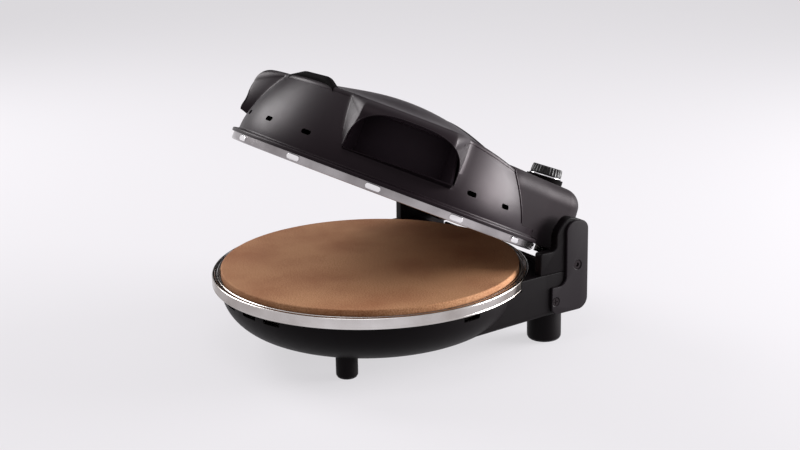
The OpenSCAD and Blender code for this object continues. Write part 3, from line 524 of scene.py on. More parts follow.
def top_z(x, y):
    """Height of the top: the higher of a paraboloid crown and a cap, blended. The cap is
    level in front, falls to the rear and droops over the hoods."""
    r = np.hypot(x, y)
    fall = (np.maximum(0, y - cap_level_y) / cap_fall_len) ** 1.5
    cap = (lid_side_h + front_rise * (1 - fall)
           - cap_droop * np.maximum(0, r - foot_r + wall_lean + edge_round) ** 2)
    crown = crown_h - crown_fall * (x * x + (y + crown_y) ** 2)
    return soft_max(cap, crown, crown_blend)


def hood_edges(z):
    """Half angles of a hood towards the front and the rear: its crease with the wall and
    the edge of its face. The facets between them widen upwards."""
    rise = np.clip((z - mouth_low) / facet_h, 0, 1)
    return [(mouth_half + crease * rise, mouth_half - face_margin + face * rise)
            for crease, face in (fore_spread, rear_spread)]


def hood_share(direction, z):
    """Share of the hood at a direction and height, from 0 on the plain wall to 1 on the
    hood's face: it rises from the creases and from the underside."""
    facet_soft, underside_soft, underside_h = 0.06, 0.2, 3
    off = np.abs(direction) - hood_dir
    fore, rear = hood_edges(z)
    crease, face = (np.where(off < 0, a, b) for a, b in zip(fore, rear))
    across = (crease - np.abs(off)) / (crease - face)
    up = (z - mouth_low + 1) / underside_h
    return soft_share(across, facet_soft) * soft_share(up, underside_soft)


def skin_r(direction, z):
    """Radius of the lid's wall: the dome, pushed out over each hood to hood_r at its top
    and hood_r + hood_lean at its foot."""
    face = hood_r + hood_lean * np.clip(1 - (z - mouth_low) / hood_lean_h, 0, 1)
    return dome_r(z) + (face - dome_r(z)) * hood_share(direction, z)


def edge_at(direction):
    """Rounding between wall and top at a direction: its radius and the height at which it
    leaves the wall."""
    level = np.full_like(direction, shoulder_z)
    radius = edge_round + hood_round * hood_share(direction, level)
    r = skin_r(direction, level) - radius
    a = np.radians(direction)
    return radius, top_z(r * np.sin(a), -r * np.cos(a)) - radius


def column_directions(z):
    """Directions of the skin's columns, one row for each height: they follow the creases
    of the hoods and stand closer together at a facet's two edges."""
    counts = (22, 20, 36, 20, 60)  # to the front facet, on it, the face, and so on
    (fore_crease, fore_face), (rear_crease, rear_face) = hood_edges(z)
    keys = [0 * z, hood_dir - fore_crease, hood_dir - fore_face, hood_dir + rear_face,
            hood_dir + rear_crease, 0 * z + 180]
    spread = [np.arange(n) / n for n in counts]
    for facet in (1, 3):
        spread[facet] = (1 - np.cos(np.pi * spread[facet])) / 2
    parts = [k0[:, None] + (k1 - k0)[:, None] * share[None]
             for k0, k1, share in zip(keys[:-1], keys[1:], spread)]
    half = np.concatenate(parts + [keys[-1][:, None]], 1)
    return np.concatenate([half, -half[:, -2:0:-1]], 1)


def skin_rings(depth):
    """Rings of the lid's outer form, drawn in by depth, from the flange over the edge to
    the middle of the top."""
    cols = column_directions(np.array([shoulder_z])).shape[1]
    every = np.arange(cols)

    def direction(z):
        """Each column's direction at its own height."""
        return column_directions(z)[every, every]

    edge, turn = edge_at(direction(np.full(cols, shoulder_z)))
    rings = []

    def add_ring(directions, radius, height):
        a = np.radians(directions)
        rings.append(np.stack([radius * np.sin(a), -radius * np.cos(a),
                               np.broadcast_to(height, radius.shape)], -1))

    flange = rounded([
        (foot_r - 3, lid_low, 0), (flange_r, lid_low, 0.8), (flange_r, lid_low + 4, 1.6),
        (foot_r, lid_low + 5.2, 1.8), (foot_r, foot_z, 0)], 6)[1:]
    for radius, height in flange:
        level = np.full(cols, height)
        add_ring(direction(level), np.full(cols, radius - depth), height)
    low = np.concatenate([np.linspace(foot_z + 1, mouth_low - 2, 8),
                          np.linspace(mouth_low - 1.6, mouth_low + 3, 16)])
    for height in low:
        level = np.full(cols, height)
        where = direction(level)
        add_ring(where, skin_r(where, level) - depth, height)
    for share in np.linspace(0, 1, 34)[1:]:
        level = mouth_low + 3 + (turn - mouth_low - 3) * share
        where = direction(level)
        add_ring(where, skin_r(where, level) - depth, level)
    where = direction(turn)
    full = skin_r(where, turn)
    a = np.radians(where)
    end_r = full - edge
    end_z = top_z(end_r * np.sin(a), -end_r * np.cos(a))
    for t in np.radians(np.linspace(0, 90, 13)[1:-1]):
        radius = full - edge * (1 - cos(t)) - depth * cos(t)
        add_ring(where, radius, turn + (end_z - turn) * sin(t) - depth * sin(t))
    for share in np.linspace(1, 0.012, 56):
        radius = end_r * share
        add_ring(where, radius, top_z(radius * np.sin(a), -radius * np.cos(a)) - depth)
    return np.array(rings)


def mouth_outline(n=72):
    """Half-moon outline of a hood's mouth across its direction: half a superellipse, a
    little narrower in front, over a lower edge that climbs by mouth_tilt to the rear."""
    a = np.radians(180 - np.linspace(0, 180, n))
    x = np.cos(a)
    power = np.where(x < 0, mouth_power_fore, mouth_power_rear)
    half = hood_r * sin(radians(mouth_half)) * np.where(x < 0, mouth_share_fore, 1)
    rise = np.abs(np.sin(a)) ** power
    tilt = mouth_tilt * (1 - rise) * (x + 1) / 2
    return np.stack([half * np.sign(x) * np.abs(x) ** power,
                     mouth_low + (mouth_top - mouth_low) * rise + tilt], 1)


def seam_slab(first, last, low):
    """Slab from first to last behind the seam plane y = seam_y - seam_lean * z, and from low
    to well above the lid."""
    high, half_w = 140.0, 230.0
    corners = [(first, low), (first, high), (last, high), (last, low)]
    corners = np.array([(seam_y - seam_lean * z + behind, z) for behind, z in corners])
    return sideways(prism(corners, -half_w, half_w, 0, steps=1))


def outward_tool(outline, direction, r0, r1, side=1):
    """Points of a cutter with an outline as seen from outside, from radius r0 to r1."""
    points = prism(outline, r0, r1, 0, steps=1)
    points = np.stack([points[..., 0], -points[..., 2], points[..., 1]], -1)
    return mirrored(swung(points, direction), side)


def slot_outline(half_w, half_h, radius, z):
    """Rectangle with rounded corners, its middle at height z."""
    return rounded([(-half_w, -half_h, radius), (half_w, -half_h, radius),
                    (half_w, half_h, radius), (-half_w, half_h, radius)], 6) + [0, z]


def double_skin(outer, inner):
    """Closed wall between two stacks of rings, each closed above by a fan to its middle and
    joined below by a flat ring."""
    rows, cols = outer.shape[:2]
    n = rows * cols
    out_points, out_faces = surface(outer)
    in_points, in_faces = surface(inner)
    faces = out_faces[:-2 * cols] + out_faces[-cols:]
    for part in (in_faces[:-2 * cols], in_faces[-cols:]):
        faces += (np.array(part) + n + 2).tolist()
    c = np.arange(cols)
    c1 = np.roll(c, -1)
    faces += np.stack([c, c1, c1 + n + 2, c + n + 2], 1).tolist()
    return np.vstack([out_points, in_points]), faces


def make_lid_shell():
    """Outer skin of the lid, wall thick, cut off along the seam and pierced by the hoods'
    mouths and the small vents."""
    shell = new_object("lid_dome", *double_skin(on_lid(skin_rings(0)), on_lid(skin_rings(wall))))
    vent = slot_outline(6, 2.6, 2.4, 34)
    openings = [outward_tool(mouth_outline(), hood_dir, 140, 220, side) for side in (-1, 1)]
    openings += [outward_tool(vent, direction, 150, 200)
                 for direction in (-102, -85, -20.5, 0, 20.5, 85, 102)]
    cut(shell, [seam_slab(0, 220, deck_z)] + openings, fan=False)
    dress(shell, "lid_shell", sharp=28)
    bulkhead = solid("lid_bulkhead", skin_rings(wall / 2))
    cut(bulkhead, [seam_slab(-wall, -0.02, reflector_top + 0.5)], on_lid, "INTERSECT", False)
    dress(bulkhead, "lid_shell")
    deck_out_r = foot_r - 0.4
    deck = rounded([
        (deck_in_r, deck_z - wall, 0.5), (deck_out_r, deck_z - wall, 0.5),
        (deck_out_r, deck_z, 0.8), (deck_in_r, deck_z, 0.8)], 4)
    dress(solid("lid_rear_deck", turned_bar(deck, 26, 154, 160), fan=False), "lid_shell")


def make_mouth_lips():
    """Rolled lip round each mouth: a thin bead along its outline, half out of the face."""
    outline = counter_clockwise(mouth_outline(220))
    x, z = outline.T
    depth = np.full_like(x, hood_r)
    for _ in range(6):
        direction = hood_dir + np.degrees(np.arctan2(x, depth))
        edge, turn = edge_at(direction)
        rise = np.clip((z - turn) / edge, 0, 1)
        radius = skin_r(direction, np.minimum(z, turn)) - edge * (1 - np.sqrt(1 - rise ** 2))
        depth = np.sqrt(np.maximum(radius ** 2 - x ** 2, 1))
    bead_r, sunk = 0.7, 0.3
    rings = tube(np.stack([x, sunk - depth, z], -1), bead_r, 12, [0, -1, 0], True)
    for side, hand in SIDES:
        lip = mirrored(swung(rings, hood_dir), side)
        dress(solid("mouth_lip_" + hand, lip, loop=True), "lid_shell")


def make_seam_bead():
    """Rounded lip along the dome's rear edge: each ring of the skin above the deck gives
    the point where it crosses the seam plane, and the other side mirrors it."""
    bead_r, ahead = 1.4, 0.6
    rings = skin_rings(0)
    half = rings.shape[1] // 2 + 1
    path = []
    for ring in rings[:, :half]:
        behind = ring[:, 1] - (seam_y - seam_lean * ring[:, 2])
        i = np.argmax(behind > 0)
        if behind[i] > 0 and ring[i, 2] > deck_z + 2:
            share = behind[i] / (behind[i] - behind[i - 1])
            path.append(ring[i] + (ring[i - 1] - ring[i]) * share)
    side = np.array(path)
    whole = np.vstack([side, mirrored(side, -1)[-2::-1]]) - [0, ahead, 0]
    dress(solid("seam_bead", tube(whole, bead_r, 14)), "lid_shell")


# ---- rear housing

def neck_half(y):
    """Half width of the rear housing: round at the dome, drawn in to the waist and almost
    straight behind it."""
    round_front = neck_front_half - neck_corner_r + np.sqrt(
        np.maximum(neck_corner_r ** 2 - (y - neck_arc_y) ** 2, 1))
    slope = neck_slope_half - (y - neck_slope_y) * neck_slope
    front = np.where(y < neck_slope_y, round_front, slope)
    rear = neck_waist_half - (y - neck_waist_y) * neck_draw
    return soft_max(front, rear, 2.5)


def make_neck():
    """Rear housing: an open-fronted cover whose plan follows neck_half and turns round the
    rear corners. Each ring is one height with its ends on the seam plane; the walls lean
    in, roll over the edge and meet in a flat top."""
    corner_x, corner_y = neck_back_half - neck_corner_r, neck_back_y - neck_corner_r
    a = np.radians(np.linspace(0, 90, 22))[1:]
    rear_x = corner_x * (1 - np.linspace(0, 1, 16)[1:])
    rings = []

    def add_plan(plan, z):
        rings.append(np.column_stack([plan, np.full(len(plan), z)]))

    def add_ring(share, draw, lift):
        z = lid_low + (neck_h - neck_round - lid_low) * share + lift
        y0 = seam_y - seam_lean * z
        y = y0 + (corner_y - y0) * np.linspace(0, 1, 64)
        r = neck_corner_r - draw
        half = np.vstack([
            np.stack([neck_half(y) - draw, y], 1),
            np.stack([corner_x + r * np.cos(a), corner_y + r * np.sin(a)], 1),
            np.stack([rear_x, np.full_like(rear_x, neck_back_y - draw)], 1)])
        add_plan(np.vstack([half, (half * [-1, 1])[-2::-1]]), z)

    for share in np.linspace(0, 1, 24):
        add_ring(share, neck_lean * share, 0)
    for t in np.radians(np.linspace(0, 90, 13))[1:]:
        add_ring(1, neck_lean + neck_round * (1 - cos(t)), neck_round * sin(t))
    last = rings[-1][:, :2]
    pole = np.array([0, last[0, 1]])
    for share in np.linspace(1, 0.02, 30)[1:]:
        add_plan(pole + (last - pole) * share, neck_h)
    grid = np.array(rings)
    rows, cols = grid.shape[:2]
    faces = quads(rows, cols, rows - 1, cols - 1)
    low = (rows - 1) * cols
    faces += [[low + i, low + i + 1, rows * cols] for i in range(cols - 1)]
    flat = np.vstack([grid.reshape(-1, 3), [[*pole, neck_h]]])
    cover = new_object("rear_housing", on_lid(flat), faces)
    top_face = max(cover.data.polygons, key=lambda f: f.center.z)
    if top_face.normal.z < 0:
        cover.data.flip_normals()
    thick = cover.modifiers.new("wall", "SOLIDIFY")
    thick.thickness = wall * MM
    thick.offset = -1
    apply_modifiers(cover)
    gap = 0.2  # between the cover and the lid's shell
    step = [(1, -5), (foot_r + gap, -5), (flange_r + gap, -5), (flange_r + gap, lid_low + 4.2),
            (foot_r + gap, lid_low + 6.2), (foot_r + gap, deck_z), (1, deck_z)]
    shaft_r, barrel_r = 3.6, 9.4
    dial = lathe([(0.5, -20), (shaft_r, -20), (shaft_r, 10), (0.5, 10)], 32)
    barrel = lathe([(0.5, 104), (barrel_r, 104), (barrel_r, 140), (0.5, 140)], 64)
    barrel = sideways(barrel) + [0, hinge_y, hinge_z]
    cut(cover, [lathe(step), dial_axis(dial), mirrored(barrel, -1), barrel])
    dress(cover, "neck_cover", sharp=40)


# ---- timer knob

def dial_axis(points):
    """Puts a piece drawn on the dial's axis on the lid, tilted forward."""
    x, y, z = np.moveaxis(points, -1, 0)
    y, z = turned(y, z, dial_tilt)
    return np.stack([x + knob_x, knob_y + y, dial_z + z], -1)


def make_knob():
    """Fluted knob: a turned body whose side dips by depth * (0.5 + 0.5 cos(n a)) ** 0.6,
    with a sunk top and a raised pointer, over a chrome ring."""
    r = knob_r - 1.0
    top = ring_h + knob_h
    seat = top - 1.1  # the sunk top
    body = rounded([
        (0.6, ring_h + 0.1, 0), (r - 0.6, ring_h + 0.1, 0.3), (r, ring_h + 1.4, 0.6),
        (r - 1.0, top, 1.6), (r - 4.2, top, 0.8), (r - 5.4, seat, 0.8), (0.6, seat, 0)], 7)
    columns = 720
    rings = lathe(body, columns)
    a = np.linspace(0, 2 * np.pi, columns, endpoint=False)
    radius, height = body[:, 0], body[:, 1]
    side = (np.clip((height - ring_h - 1.2) / 0.8, 0, 1)
            * np.clip((radius - (r - 3.2)) / 1.6, 0, 1))
    flute_depth, flutes = 0.75, 30
    flute = flute_depth * (0.5 + 0.5 * np.cos(flutes * a)) ** 0.6
    scale = 1 - side[:, None] * flute[None] / radius[:, None]
    rings = rings * np.stack([scale, scale, np.ones_like(scale)], -1)
    dress(solid("timer_knob_body", dial_axis(rings)), "timer_knob")
    bar = rounded([
        (-1.1, 3.5, 1.0), (1.1, 3.5, 1.0), (0.8, r - 4.6, 0.6), (-0.8, r - 4.6, 0.6)], 6)
    pointer = dial_axis(prism(bar, top - 1.6, top - 0.2, 0.4))
    dress(solid("timer_pointer", pointer, fan=False), "timer_knob", slot="knob_chrome")
    ring = rounded([
        (knob_r - 7, 0, 0), (knob_r - 0.6, 0, 0.4), (knob_r, 1.0, 0.7),
        (knob_r - 1.2, ring_h, 0.5), (knob_r - 7, ring_h, 0)], 7)
    dress(solid("timer_ring", dial_axis(lathe(ring)), loop=True), "knob_ring")


# ---- rims, tray and stone

def make_rims():
    """Steel bands: rolled edge, straight skirt, and a flat flange towards the stone; the
    base's skirt ends in a small curl."""
    t = sheet_t
    base = rounded([
        (stone_r + 2.6, -t, 0), (rim_r - t, -t, 1.2), (rim_r - t, -base_band_h, 0),
        (rim_r - 0.4, -base_band_h, 0.3), (rim_r, -base_band_h + 1, 0.6),
        (rim_r - 0.5, -base_band_h + 2, 0.6), (rim_r, -base_band_h + 3, 0.6), (rim_r, 0, 1.8),
        (rim_r - 2.8, 0, 0.3), (rim_r - 3.4, -0.5, 0.4), (stone_r + 4.6, -0.5, 0.4),
        (stone_r + 3.8, 0, 0.3), (stone_r + 2.6, 0, 0)], 6)
    dress(solid("base_rim_band", lathe(base, 288), on_base, loop=True), "base_rim")
    inner = stone_r + 3.2
    lid = rounded([
        (inner, shut_gap, 0), (rim_r, shut_gap, 1.8), (rim_r, lid_low, 0),
        (rim_r - t, lid_low, 0), (rim_r - t, shut_gap + t, 0.8), (inner, shut_gap + t, 0)], 6)
    dress(solid("lid_rim_band", lathe(lid, 288), loop=True), "lid_rim")


def make_rim_clips():
    """Stamped clips over the lid's band: a low pillow with a turned-in lower lip."""
    half_w = 8.0
    count = 12
    first = -99.0  # direction of the first one, from the side
    low_z = shut_gap + 1.9
    belt_z = low_z + 2.6  # the clips' ends draw in towards this height
    section = rounded([
        (rim_r - 0.2, low_z, 0), (rim_r + 0.8, low_z, 0.4), (rim_r + 1.2, low_z + 1.3, 0.5),
        (rim_r + 1.2, lid_low - 1.0, 0.5), (rim_r - 0.2, lid_low - 0.3, 0)], 4)
    span = degrees(half_w / rim_r)
    across = np.linspace(-1, 1, 20)
    round_end = np.sqrt(np.clip(1 - np.abs(across) ** 8, 0, 1)) * 0.9 + 0.1
    for i in range(count):
        middle = first + i * 360 / count
        bar = turned_bar(section, middle - span, middle + span, len(across))
        bar[..., 2] = belt_z + (bar[..., 2] - belt_z) * round_end[:, None]
        dress(solid(f"lid_rim_clip_{i + 1}", bar, fan=False), "lid_rim_clips")


def make_stone():
    """Baking stone with an eased upper edge and a small chamfer below."""
    profile = rounded([
        (1, stone_low, 0), (stone_r - 0.9, stone_low, 0), (stone_r, stone_low + 0.9, 0.4),
        (stone_r, stone_top, 1.8), (1, stone_top, 0)], 7)
    dress(solid("stone_disc", lathe(profile, 288), on_base), "baking_stone")


# ---- base

def bowl_curve(drawn):
    """Quarter ellipse from the bowl's flat bottom to its waist, drawn in by a distance."""
    a = np.radians(np.linspace(-90, 0, 30))
    return np.stack([bowl_flat_r + (bowl_r - bowl_flat_r - drawn) * np.cos(a),
                     bowl_waist + (bowl_depth + bowl_waist - drawn) * np.sin(a)], 1)


def make_bowl():
    """Round underside, wall thick: flat bottom, quarter ellipse up to the waist, a collar
    behind the steel band and vent slots under it."""
    top = -2 * sheet_t
    outer = np.vstack([
        [(1, -bowl_depth), (bowl_flat_r - 12, -bowl_depth)], bowl_curve(0),
        [(bowl_r + 0.6, bowl_waist + 0.7), (shoulder_r - 0.5, -base_band_h - 0.9),
         (shoulder_r, -base_band_h - 0.4), (shoulder_r, top)]])
    inner = np.vstack([
        [(1, -bowl_depth + wall)], bowl_curve(wall),
        [(shoulder_r - wall, -base_band_h + 1.5), (shoulder_r - wall, top)]])[::-1]
    bowl = solid("base_bowl", lathe(np.vstack([outer, inner])), on_base)
    vent = slot_outline(11, 3, 1.6, bowl_waist - 3.6)
    cut(bowl, [outward_tool(vent, direction, bowl_r - 8, bowl_r + 8)
               for direction in (-97, -19, -7, 7, 19, 97)], on_base, fan=False)
    dress(bowl, "base_housing", sharp=30)


def make_hinge_block():
    """Block behind the bowl that carries the hinge: a plan that narrows to the towers, with
    rolled edges and the gap in which the back of the lid swings. A low ridge across the
    gap closes most of the view under the lid's rear end."""
    front_x, front_y, bend_y = block_half_w + 5, 20.0, 135.0
    right = [(front_x, front_y, 0), (block_half_w, bend_y, 30), (block_half_w, block_back_y, 8)]
    plan = rounded(right + [(-x, y, r) for x, y, r in right[::-1]], 10)
    block = solid("hinge_block", prism(plan, -block_depth, -1, 7, 1.0, 8), on_base, fan=False)
    band_r, band_low = rim_r + 0.4, -base_band_h - 1.2
    band = lathe([(1, band_low), (band_r, band_low), (band_r, 40), (1, 40)])
    half = tower_in + 0.5
    gap_front, gap_back, gap_floor = 154.0, 260.0, -18.0
    swing = np.array([
        (-half, gap_front), (half, gap_front), (half, gap_back), (-half, gap_back)])
    cut(block, [band], on_base)
    cut(block, [prism(swing, gap_floor, 60, 0, steps=1)], on_base, fan=False)
    dress(block, "base_housing", sharp=30)
    ridge_half, ridge_low = 109.0, gap_floor - 0.5
    ridge = rounded([
        (176.5, ridge_low, 0), (176.5, -6.5, 1.5), (181, -7, 1.5), (181, ridge_low, 0)], 6)
    dress(solid("hinge_block_ridge", sideways(prism(ridge, -ridge_half, ridge_half, 1.0)),
                on_base, fan=False), "base_housing")


def make_feet():
    """Feet turned with an eased lower edge and a fillet at the top, on rubber pads."""
    pad_t = 2.0
    low = -rim_h + pad_t
    for end, x, y, r, top in (("front", 83, -84, 11.75, -46),
                              ("rear", 113, 156, 19, -block_depth)):
        post = rounded([
            (1, low, 0), (r - 0.2, low, 1.2), (r, low + 4, 2), (r, top, 0.3), (1, top, 0)], 6)
        pad = rounded([
            (1, -rim_h, 0), (r - 2.4, -rim_h, 0.5), (r - 1.1, -rim_h + 1, 0.6),
            (r - 1.1, low, 0.1), (1, low, 0)], 5)
        for side, hand in SIDES:
            name = f"{end}_foot_{hand}"
            place = [side * x, y, 0]
            dress(solid(name + "_post", lathe(post, 96) + place, on_base), name)
            dress(solid(f"{end}_pad_{hand}", lathe(pad, 96) + place, on_base), "foot_pads")


# ---- hinge

def make_towers():
    """Cheeks on the hinge block: a low shoulder in front and a tall rounded upright."""
    front = hinge_y - 27
    back = block_back_y - 1
    outline = rounded([
        (front - 22, -1, 0), (front - 22, tower_shoulder_h, 3), (front, tower_shoulder_h, 6),
        (front, tower_h - 16, 16), (front + 16, tower_h, 10), (back, tower_h - 9, 12),
        (back, -1, 0)], 12)
    for side, hand in SIDES:
        name = "hinge_tower_" + hand
        cheek = mirrored(sideways(prism(outline, tower_in, block_half_w, 1.4)), side)
        dress(solid(name + "_cheek", cheek, on_base, fan=False), name)


def make_plates():
    """Painted side plates: an upright with a lower foot, a rolled edge, a sunk seat for the
    screw and a hole for the pin's head."""
    back = block_back_y - 0.5
    front = hinge_y - 35.5
    upright = hinge_y - 15.5  # front edge above the foot
    outline = rounded([
        (front, -block_depth + 2, 9), (front, -16.5, 2), (upright, -16.5, 10),
        (upright, tower_h - 5, 12), (back, tower_h - 6.5, 11),
        (back, -block_depth + 2, 13)], 14)
    outside = block_half_w + plate_t
    # place and radius of the holes for the pin and the screw, and how far in they end
    spots = [(hinge_y, hinge_z, 5.2, block_half_w - 1), (hinge_y - 30, -33, 4.8, block_half_w + 1)]
    for side, hand in SIDES:
        name = "hinge_plate_" + hand
        rings = sideways(prism(outline, block_half_w, outside, 0.2, 1.0))
        plate = solid(name + "_cover", mirrored(rings, side), on_base, fan=False)
        for y, z, r, floor in spots:
            hole = lathe([(0.3, floor), (r, floor), (r, outside - 0.6), (r + 0.8, outside + 0.2),
                          (0.3, outside + 0.2)], 64)
            cut(plate, [mirrored(sideways(hole) + [0, y, z], side)], on_base)
        dress(plate, name, sharp=30)


# ---- heating elements

def element_path(radius, z0, leg):
    """Ring left open at the back, whose ends bend into legs of a signed height: each bend
    is a quarter circle from the ring's tangent to the upright."""
    bend = 9.0
    gap = 16.0
    shift = degrees(bend / radius)
    a = np.radians(np.linspace(90 + gap + shift, 450 - gap - shift, 260))
    ring = np.stack([radius * np.cos(a), radius * np.sin(a), np.full_like(a, z0)], 1)
    t = np.radians(np.linspace(0, 90, 14))[1:]
    way = copysign(1, leg)
    ends = []
    for index, sign in ((-1, 1), (0, -1)):
        tangent = sign * np.array([-sin(a[index]), cos(a[index]), 0])
        bent = (ring[index] + bend * np.sin(t)[:, None] * tangent
                + way * bend * (1 - np.cos(t))[:, None] * np.array([0, 0, 1]))
        down = bent[-1] + np.linspace(0, 1, 8)[1:, None] * [0, 0, leg - way * bend]
        ends.append(np.vstack([bent, down]))
    return np.vstack([ends[1][::-1], ring, ends[0]])


def make_elements():
    """Tubular elements: the lower one with its legs down, the upper one with them up."""
    tube_r = 3.2
    lower_z, upper_z = stone_low - 11, 17.0
    leg_end, leg_top = -38.0, reflector_top + 7
    lower = tube(element_path(105, lower_z, leg_end - lower_z), tube_r)
    dress(solid("lower_element_tube", lower, on_base), "lower_element")
    upper = tube(element_path(118, upper_z, leg_top - upper_z), tube_r)
    dress(solid("upper_element_tube", upper), "upper_element")


def make_reflector():
    """Pressed reflector over the upper element: flat, with a sunk centre, two ring beads and
    a sloping border."""
    r = np.concatenate([np.linspace(1, deck_in_r - 8, 150),
                        np.linspace(deck_in_r - 7, stone_r + 3.3, 24), [rim_r - 2.0]])
    z = np.interp(r, [0, deck_in_r - 8, deck_in_r - 1.5, stone_r + 0.5, stone_r + 3.1, rim_r],
                  [reflector_top, reflector_top, deck_z - wall - 3.2, stone_top + 2.2,
                   shut_gap + 2, shut_gap + 2])
    for bead_r, bead_w in ((60, 3.0), (138, 2.6)):
        z = z - 1.6 * np.exp(-((r - bead_r) / bead_w) ** 2)
    z = z - 2.4 / (1 + np.exp((r - 24) / 1.5))
    under = np.stack([r, z - sheet_t], 1)
    over = np.stack([r, z], 1)[::-1]
    dress(solid("reflector_pan", lathe(np.vstack([under, over]))), "upper_reflector", sharp=50)


def make_front_grip():
    """Front finger grip: a section that leans forward over the panel's edge, drawn along x.
    Its height follows a crest that falls to both ends, and its depth shrinks with it."""
    half, high = 46.0, 8.5
    sunk = 6.0  # depth of its root below the panel's edge
    edge_r = float(skin_r(np.array(0.0), np.array(shoulder_z))) - edge_round
    edge_z = float(top_z(0.0, -edge_r))
    section = rounded([
        (-edge_r + 4, edge_z - 8, 0), (-edge_r + 1, edge_z + high - 5, 3),
        (-edge_r + 4, edge_z + high, 4), (-edge_r + 11, edge_z + high - 1, 5),
        (-edge_r + 20, edge_z - sunk, 0)], 10)
    crest = rounded([
        (half, 0, 0), (half - 2, sunk, 3), (half - 20, high + sunk, 16),
        (26 - half, high + 5, 24), (2 - half, sunk, 4), (-half, 0, 0)], 12)[::-1]
    x = half * np.sin(np.radians(np.linspace(-90, 90, 90)))[1:-1]
    share = np.interp(x, crest[:, 0], crest[:, 1])[:, None] / (high + sunk)
    base = edge_z - sunk
    along, up = section.T
    z = np.where(up > base, base + (up - base) * share, up)
    middle = 8 - edge_r
    y = middle + (along - middle) * (0.8 + 0.2 * share)
    grid = np.stack([np.repeat(x[:, None], len(section), 1), y, z], -1)
    dress(solid("front_finger_grip", grid, fan=False), "front_grip", sharp=50)


# ---- build all

for node_name, node in frame["nodes"].items():
    node.data.materials.clear()
    node.data.materials.append(LOOKS[LOOK_OF_NODE.get(node_name, SLOT_OF_NODE[node_name])])

make_lid_shell()
make_mouth_lips()
make_seam_bead()
make_neck()
make_knob()
make_rims()
make_rim_clips()
make_stone()
make_bowl()
make_hinge_block()
make_feet()
make_towers()
make_plates()
make_elements()
make_reflector()
make_front_grip()


# ---- floor, light, camera

BACKGROUND = "#edebee"


def background_rays(tree):
    """1 for the rays that show the background: camera, glossy and transmission rays."""
    rays = add(tree, "LightPath").outputs
    seen = rays["Is Camera Ray"]
    for kind in ("Is Glossy Ray", "Is Transmission Ray"):
        seen = add(tree, "Math", {0: seen, 1: rays[kind]}, operation="ADD",
                   use_clamp=True).outputs[0]
    return seen


def make_stage():
    """Pale floor that fades into the background. Part of its tone is seen but lights
    nothing, so its shadow stays soft and light."""
    size = 8.0
    glow_share = 0.74
    corners = np.array([[-size, -size, 0], [size, -size, 0], [size, size, 0], [-size, size, 0]])
    floor = new_object("floor", corners, [[0, 1, 2, 3]])
    material, tree, shader, _ = start_material("Studio floor")
    glow = add(tree, "Math", {0: background_rays(tree), 1: glow_share}, operation="MULTIPLY")
    fill(tree, shader, {
        "Base Color": linear("#807e81"), "Roughness": 0.9, "Specular IOR Level": 0.0,
        "Emission Color": linear(BACKGROUND), "Emission Strength": glow.outputs[0]})
    floor.data.materials.append(material)


def make_flag():
    """Black felt flag behind the oven on its left, above the picture: it keeps the pale
    room out of the reflections along the lid's top."""
    direction, distance, half_w = radians(-116), 2.2, 1.45
    low, high = 0.40, 1.50
    middle = distance * np.array([sin(direction), -cos(direction)])
    along = half_w * np.array([cos(direction), sin(direction)])
    left, right = middle - along, middle + along
    corners = np.array([[*left, low], [*right, low], [*right, high], [*left, high]])
    flag = new_object("flag", corners, [[0, 1, 2, 3]])
    material, tree, shader, _ = start_material("Black felt")
    fill(tree, shader, {
        "Base Color": linear("#0a090a"), "Roughness": 1.0, "Specular IOR Level": 0.0})
    flag.data.materials.append(material)
    flag.visible_camera = False
    flag.visible_diffuse = False
    flag.visible_shadow = False


def make_world():
    """Even light from all round, and a pale background wherever camera, glossy and clear
    rays pass the floor."""
    world = bpy.data.worlds.new("Studio")
    bpy.context.scene.world = world
    world.use_nodes = True
    tree = world.node_tree
    tree.nodes.clear()
    room = add(tree, "Background", {"Color": linear("#e9e6ea"), "Strength": 0.4})
    pale = add(tree, "Background", {"Color": linear(BACKGROUND), "Strength": 1.0})
    mix = add(tree, "MixShader", {0: background_rays(tree), 1: room.outputs[0],
                                  2: pale.outputs[0]})
    add(tree, "OutputWorld", {"Surface": mix.outputs[0]})


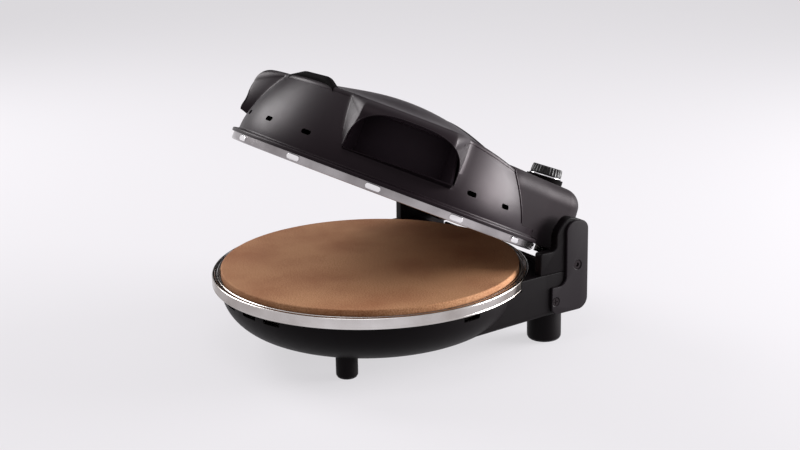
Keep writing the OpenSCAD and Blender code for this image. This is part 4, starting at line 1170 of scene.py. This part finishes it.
def make_light(name, place, aim, width, height, watts):
    """Soft white rectangular lamp at a place, aimed at a point."""
    lamp = bpy.data.lights.new(name, "AREA")
    lamp.shape = "RECTANGLE"
    lamp.size = width
    lamp.size_y = height
    lamp.energy = watts
    thing = bpy.data.objects.new(name, lamp)
    thing.location = place
    thing.rotation_mode = "QUATERNION"
    thing.rotation_quaternion = (Vector(aim) - Vector(place)).to_track_quat("-Z", "Y")
    bpy.context.scene.collection.objects.link(thing)


def make_camera():
    """Camera in front and to the right of the oven, a little above it. It is turned so that
    the middle of the rim plane lands at aim_px."""
    azimuth, elevation, roll = (radians(v) for v in (57.942, 17.961, -1.432))
    distance = 1.745
    focal_px = 1572.05
    width_px, height_px = 800, 450
    aim_px = (370.26, 265.16)
    back = Vector((sin(azimuth) * cos(elevation),
                   -cos(azimuth) * cos(elevation), sin(elevation)))
    level = Vector((cos(azimuth), sin(azimuth), 0))
    up = back.cross(level)
    across = level * cos(roll) + up * sin(roll)
    up = up * cos(roll) - level * sin(roll)
    aimed = Matrix((across, up, back)).transposed()
    sight = Vector(((aim_px[0] - width_px / 2) / focal_px,
                    (height_px / 2 - aim_px[1]) / focal_px, -1))
    turn = Vector((0, 0, -1)).rotation_difference(sight.normalized()).to_matrix()
    data = bpy.data.cameras.new("camera")
    data.sensor_width = 36
    data.lens = focal_px / width_px * data.sensor_width
    camera = bpy.data.objects.new("camera", data)
    place = Vector((0, frame_y * MM, rim_h * MM)) + back * distance
    camera.matrix_world = Matrix.Translation(place) @ (aimed @ turn.inverted()).to_4x4()
    bpy.context.scene.collection.objects.link(camera)
    bpy.context.scene.camera = camera


make_stage()
make_flag()
make_world()
make_light("rear_right_softbox", (0.82, 1.67, 0.40), (0.1, 0.0, 0.2), 1.3, 0.68, 82)
make_light("left_softbox", (-1.55, -0.55, 1.15), (0.0, -0.1, 0.2), 0.9, 0.9, 24)
make_light("overhead", (0.3, -0.4, 1.9), (0.0, 0.0, 0.1), 1.0, 1.0, 5)
make_camera()
bpy.context.scene.view_settings.view_transform = "Standard"
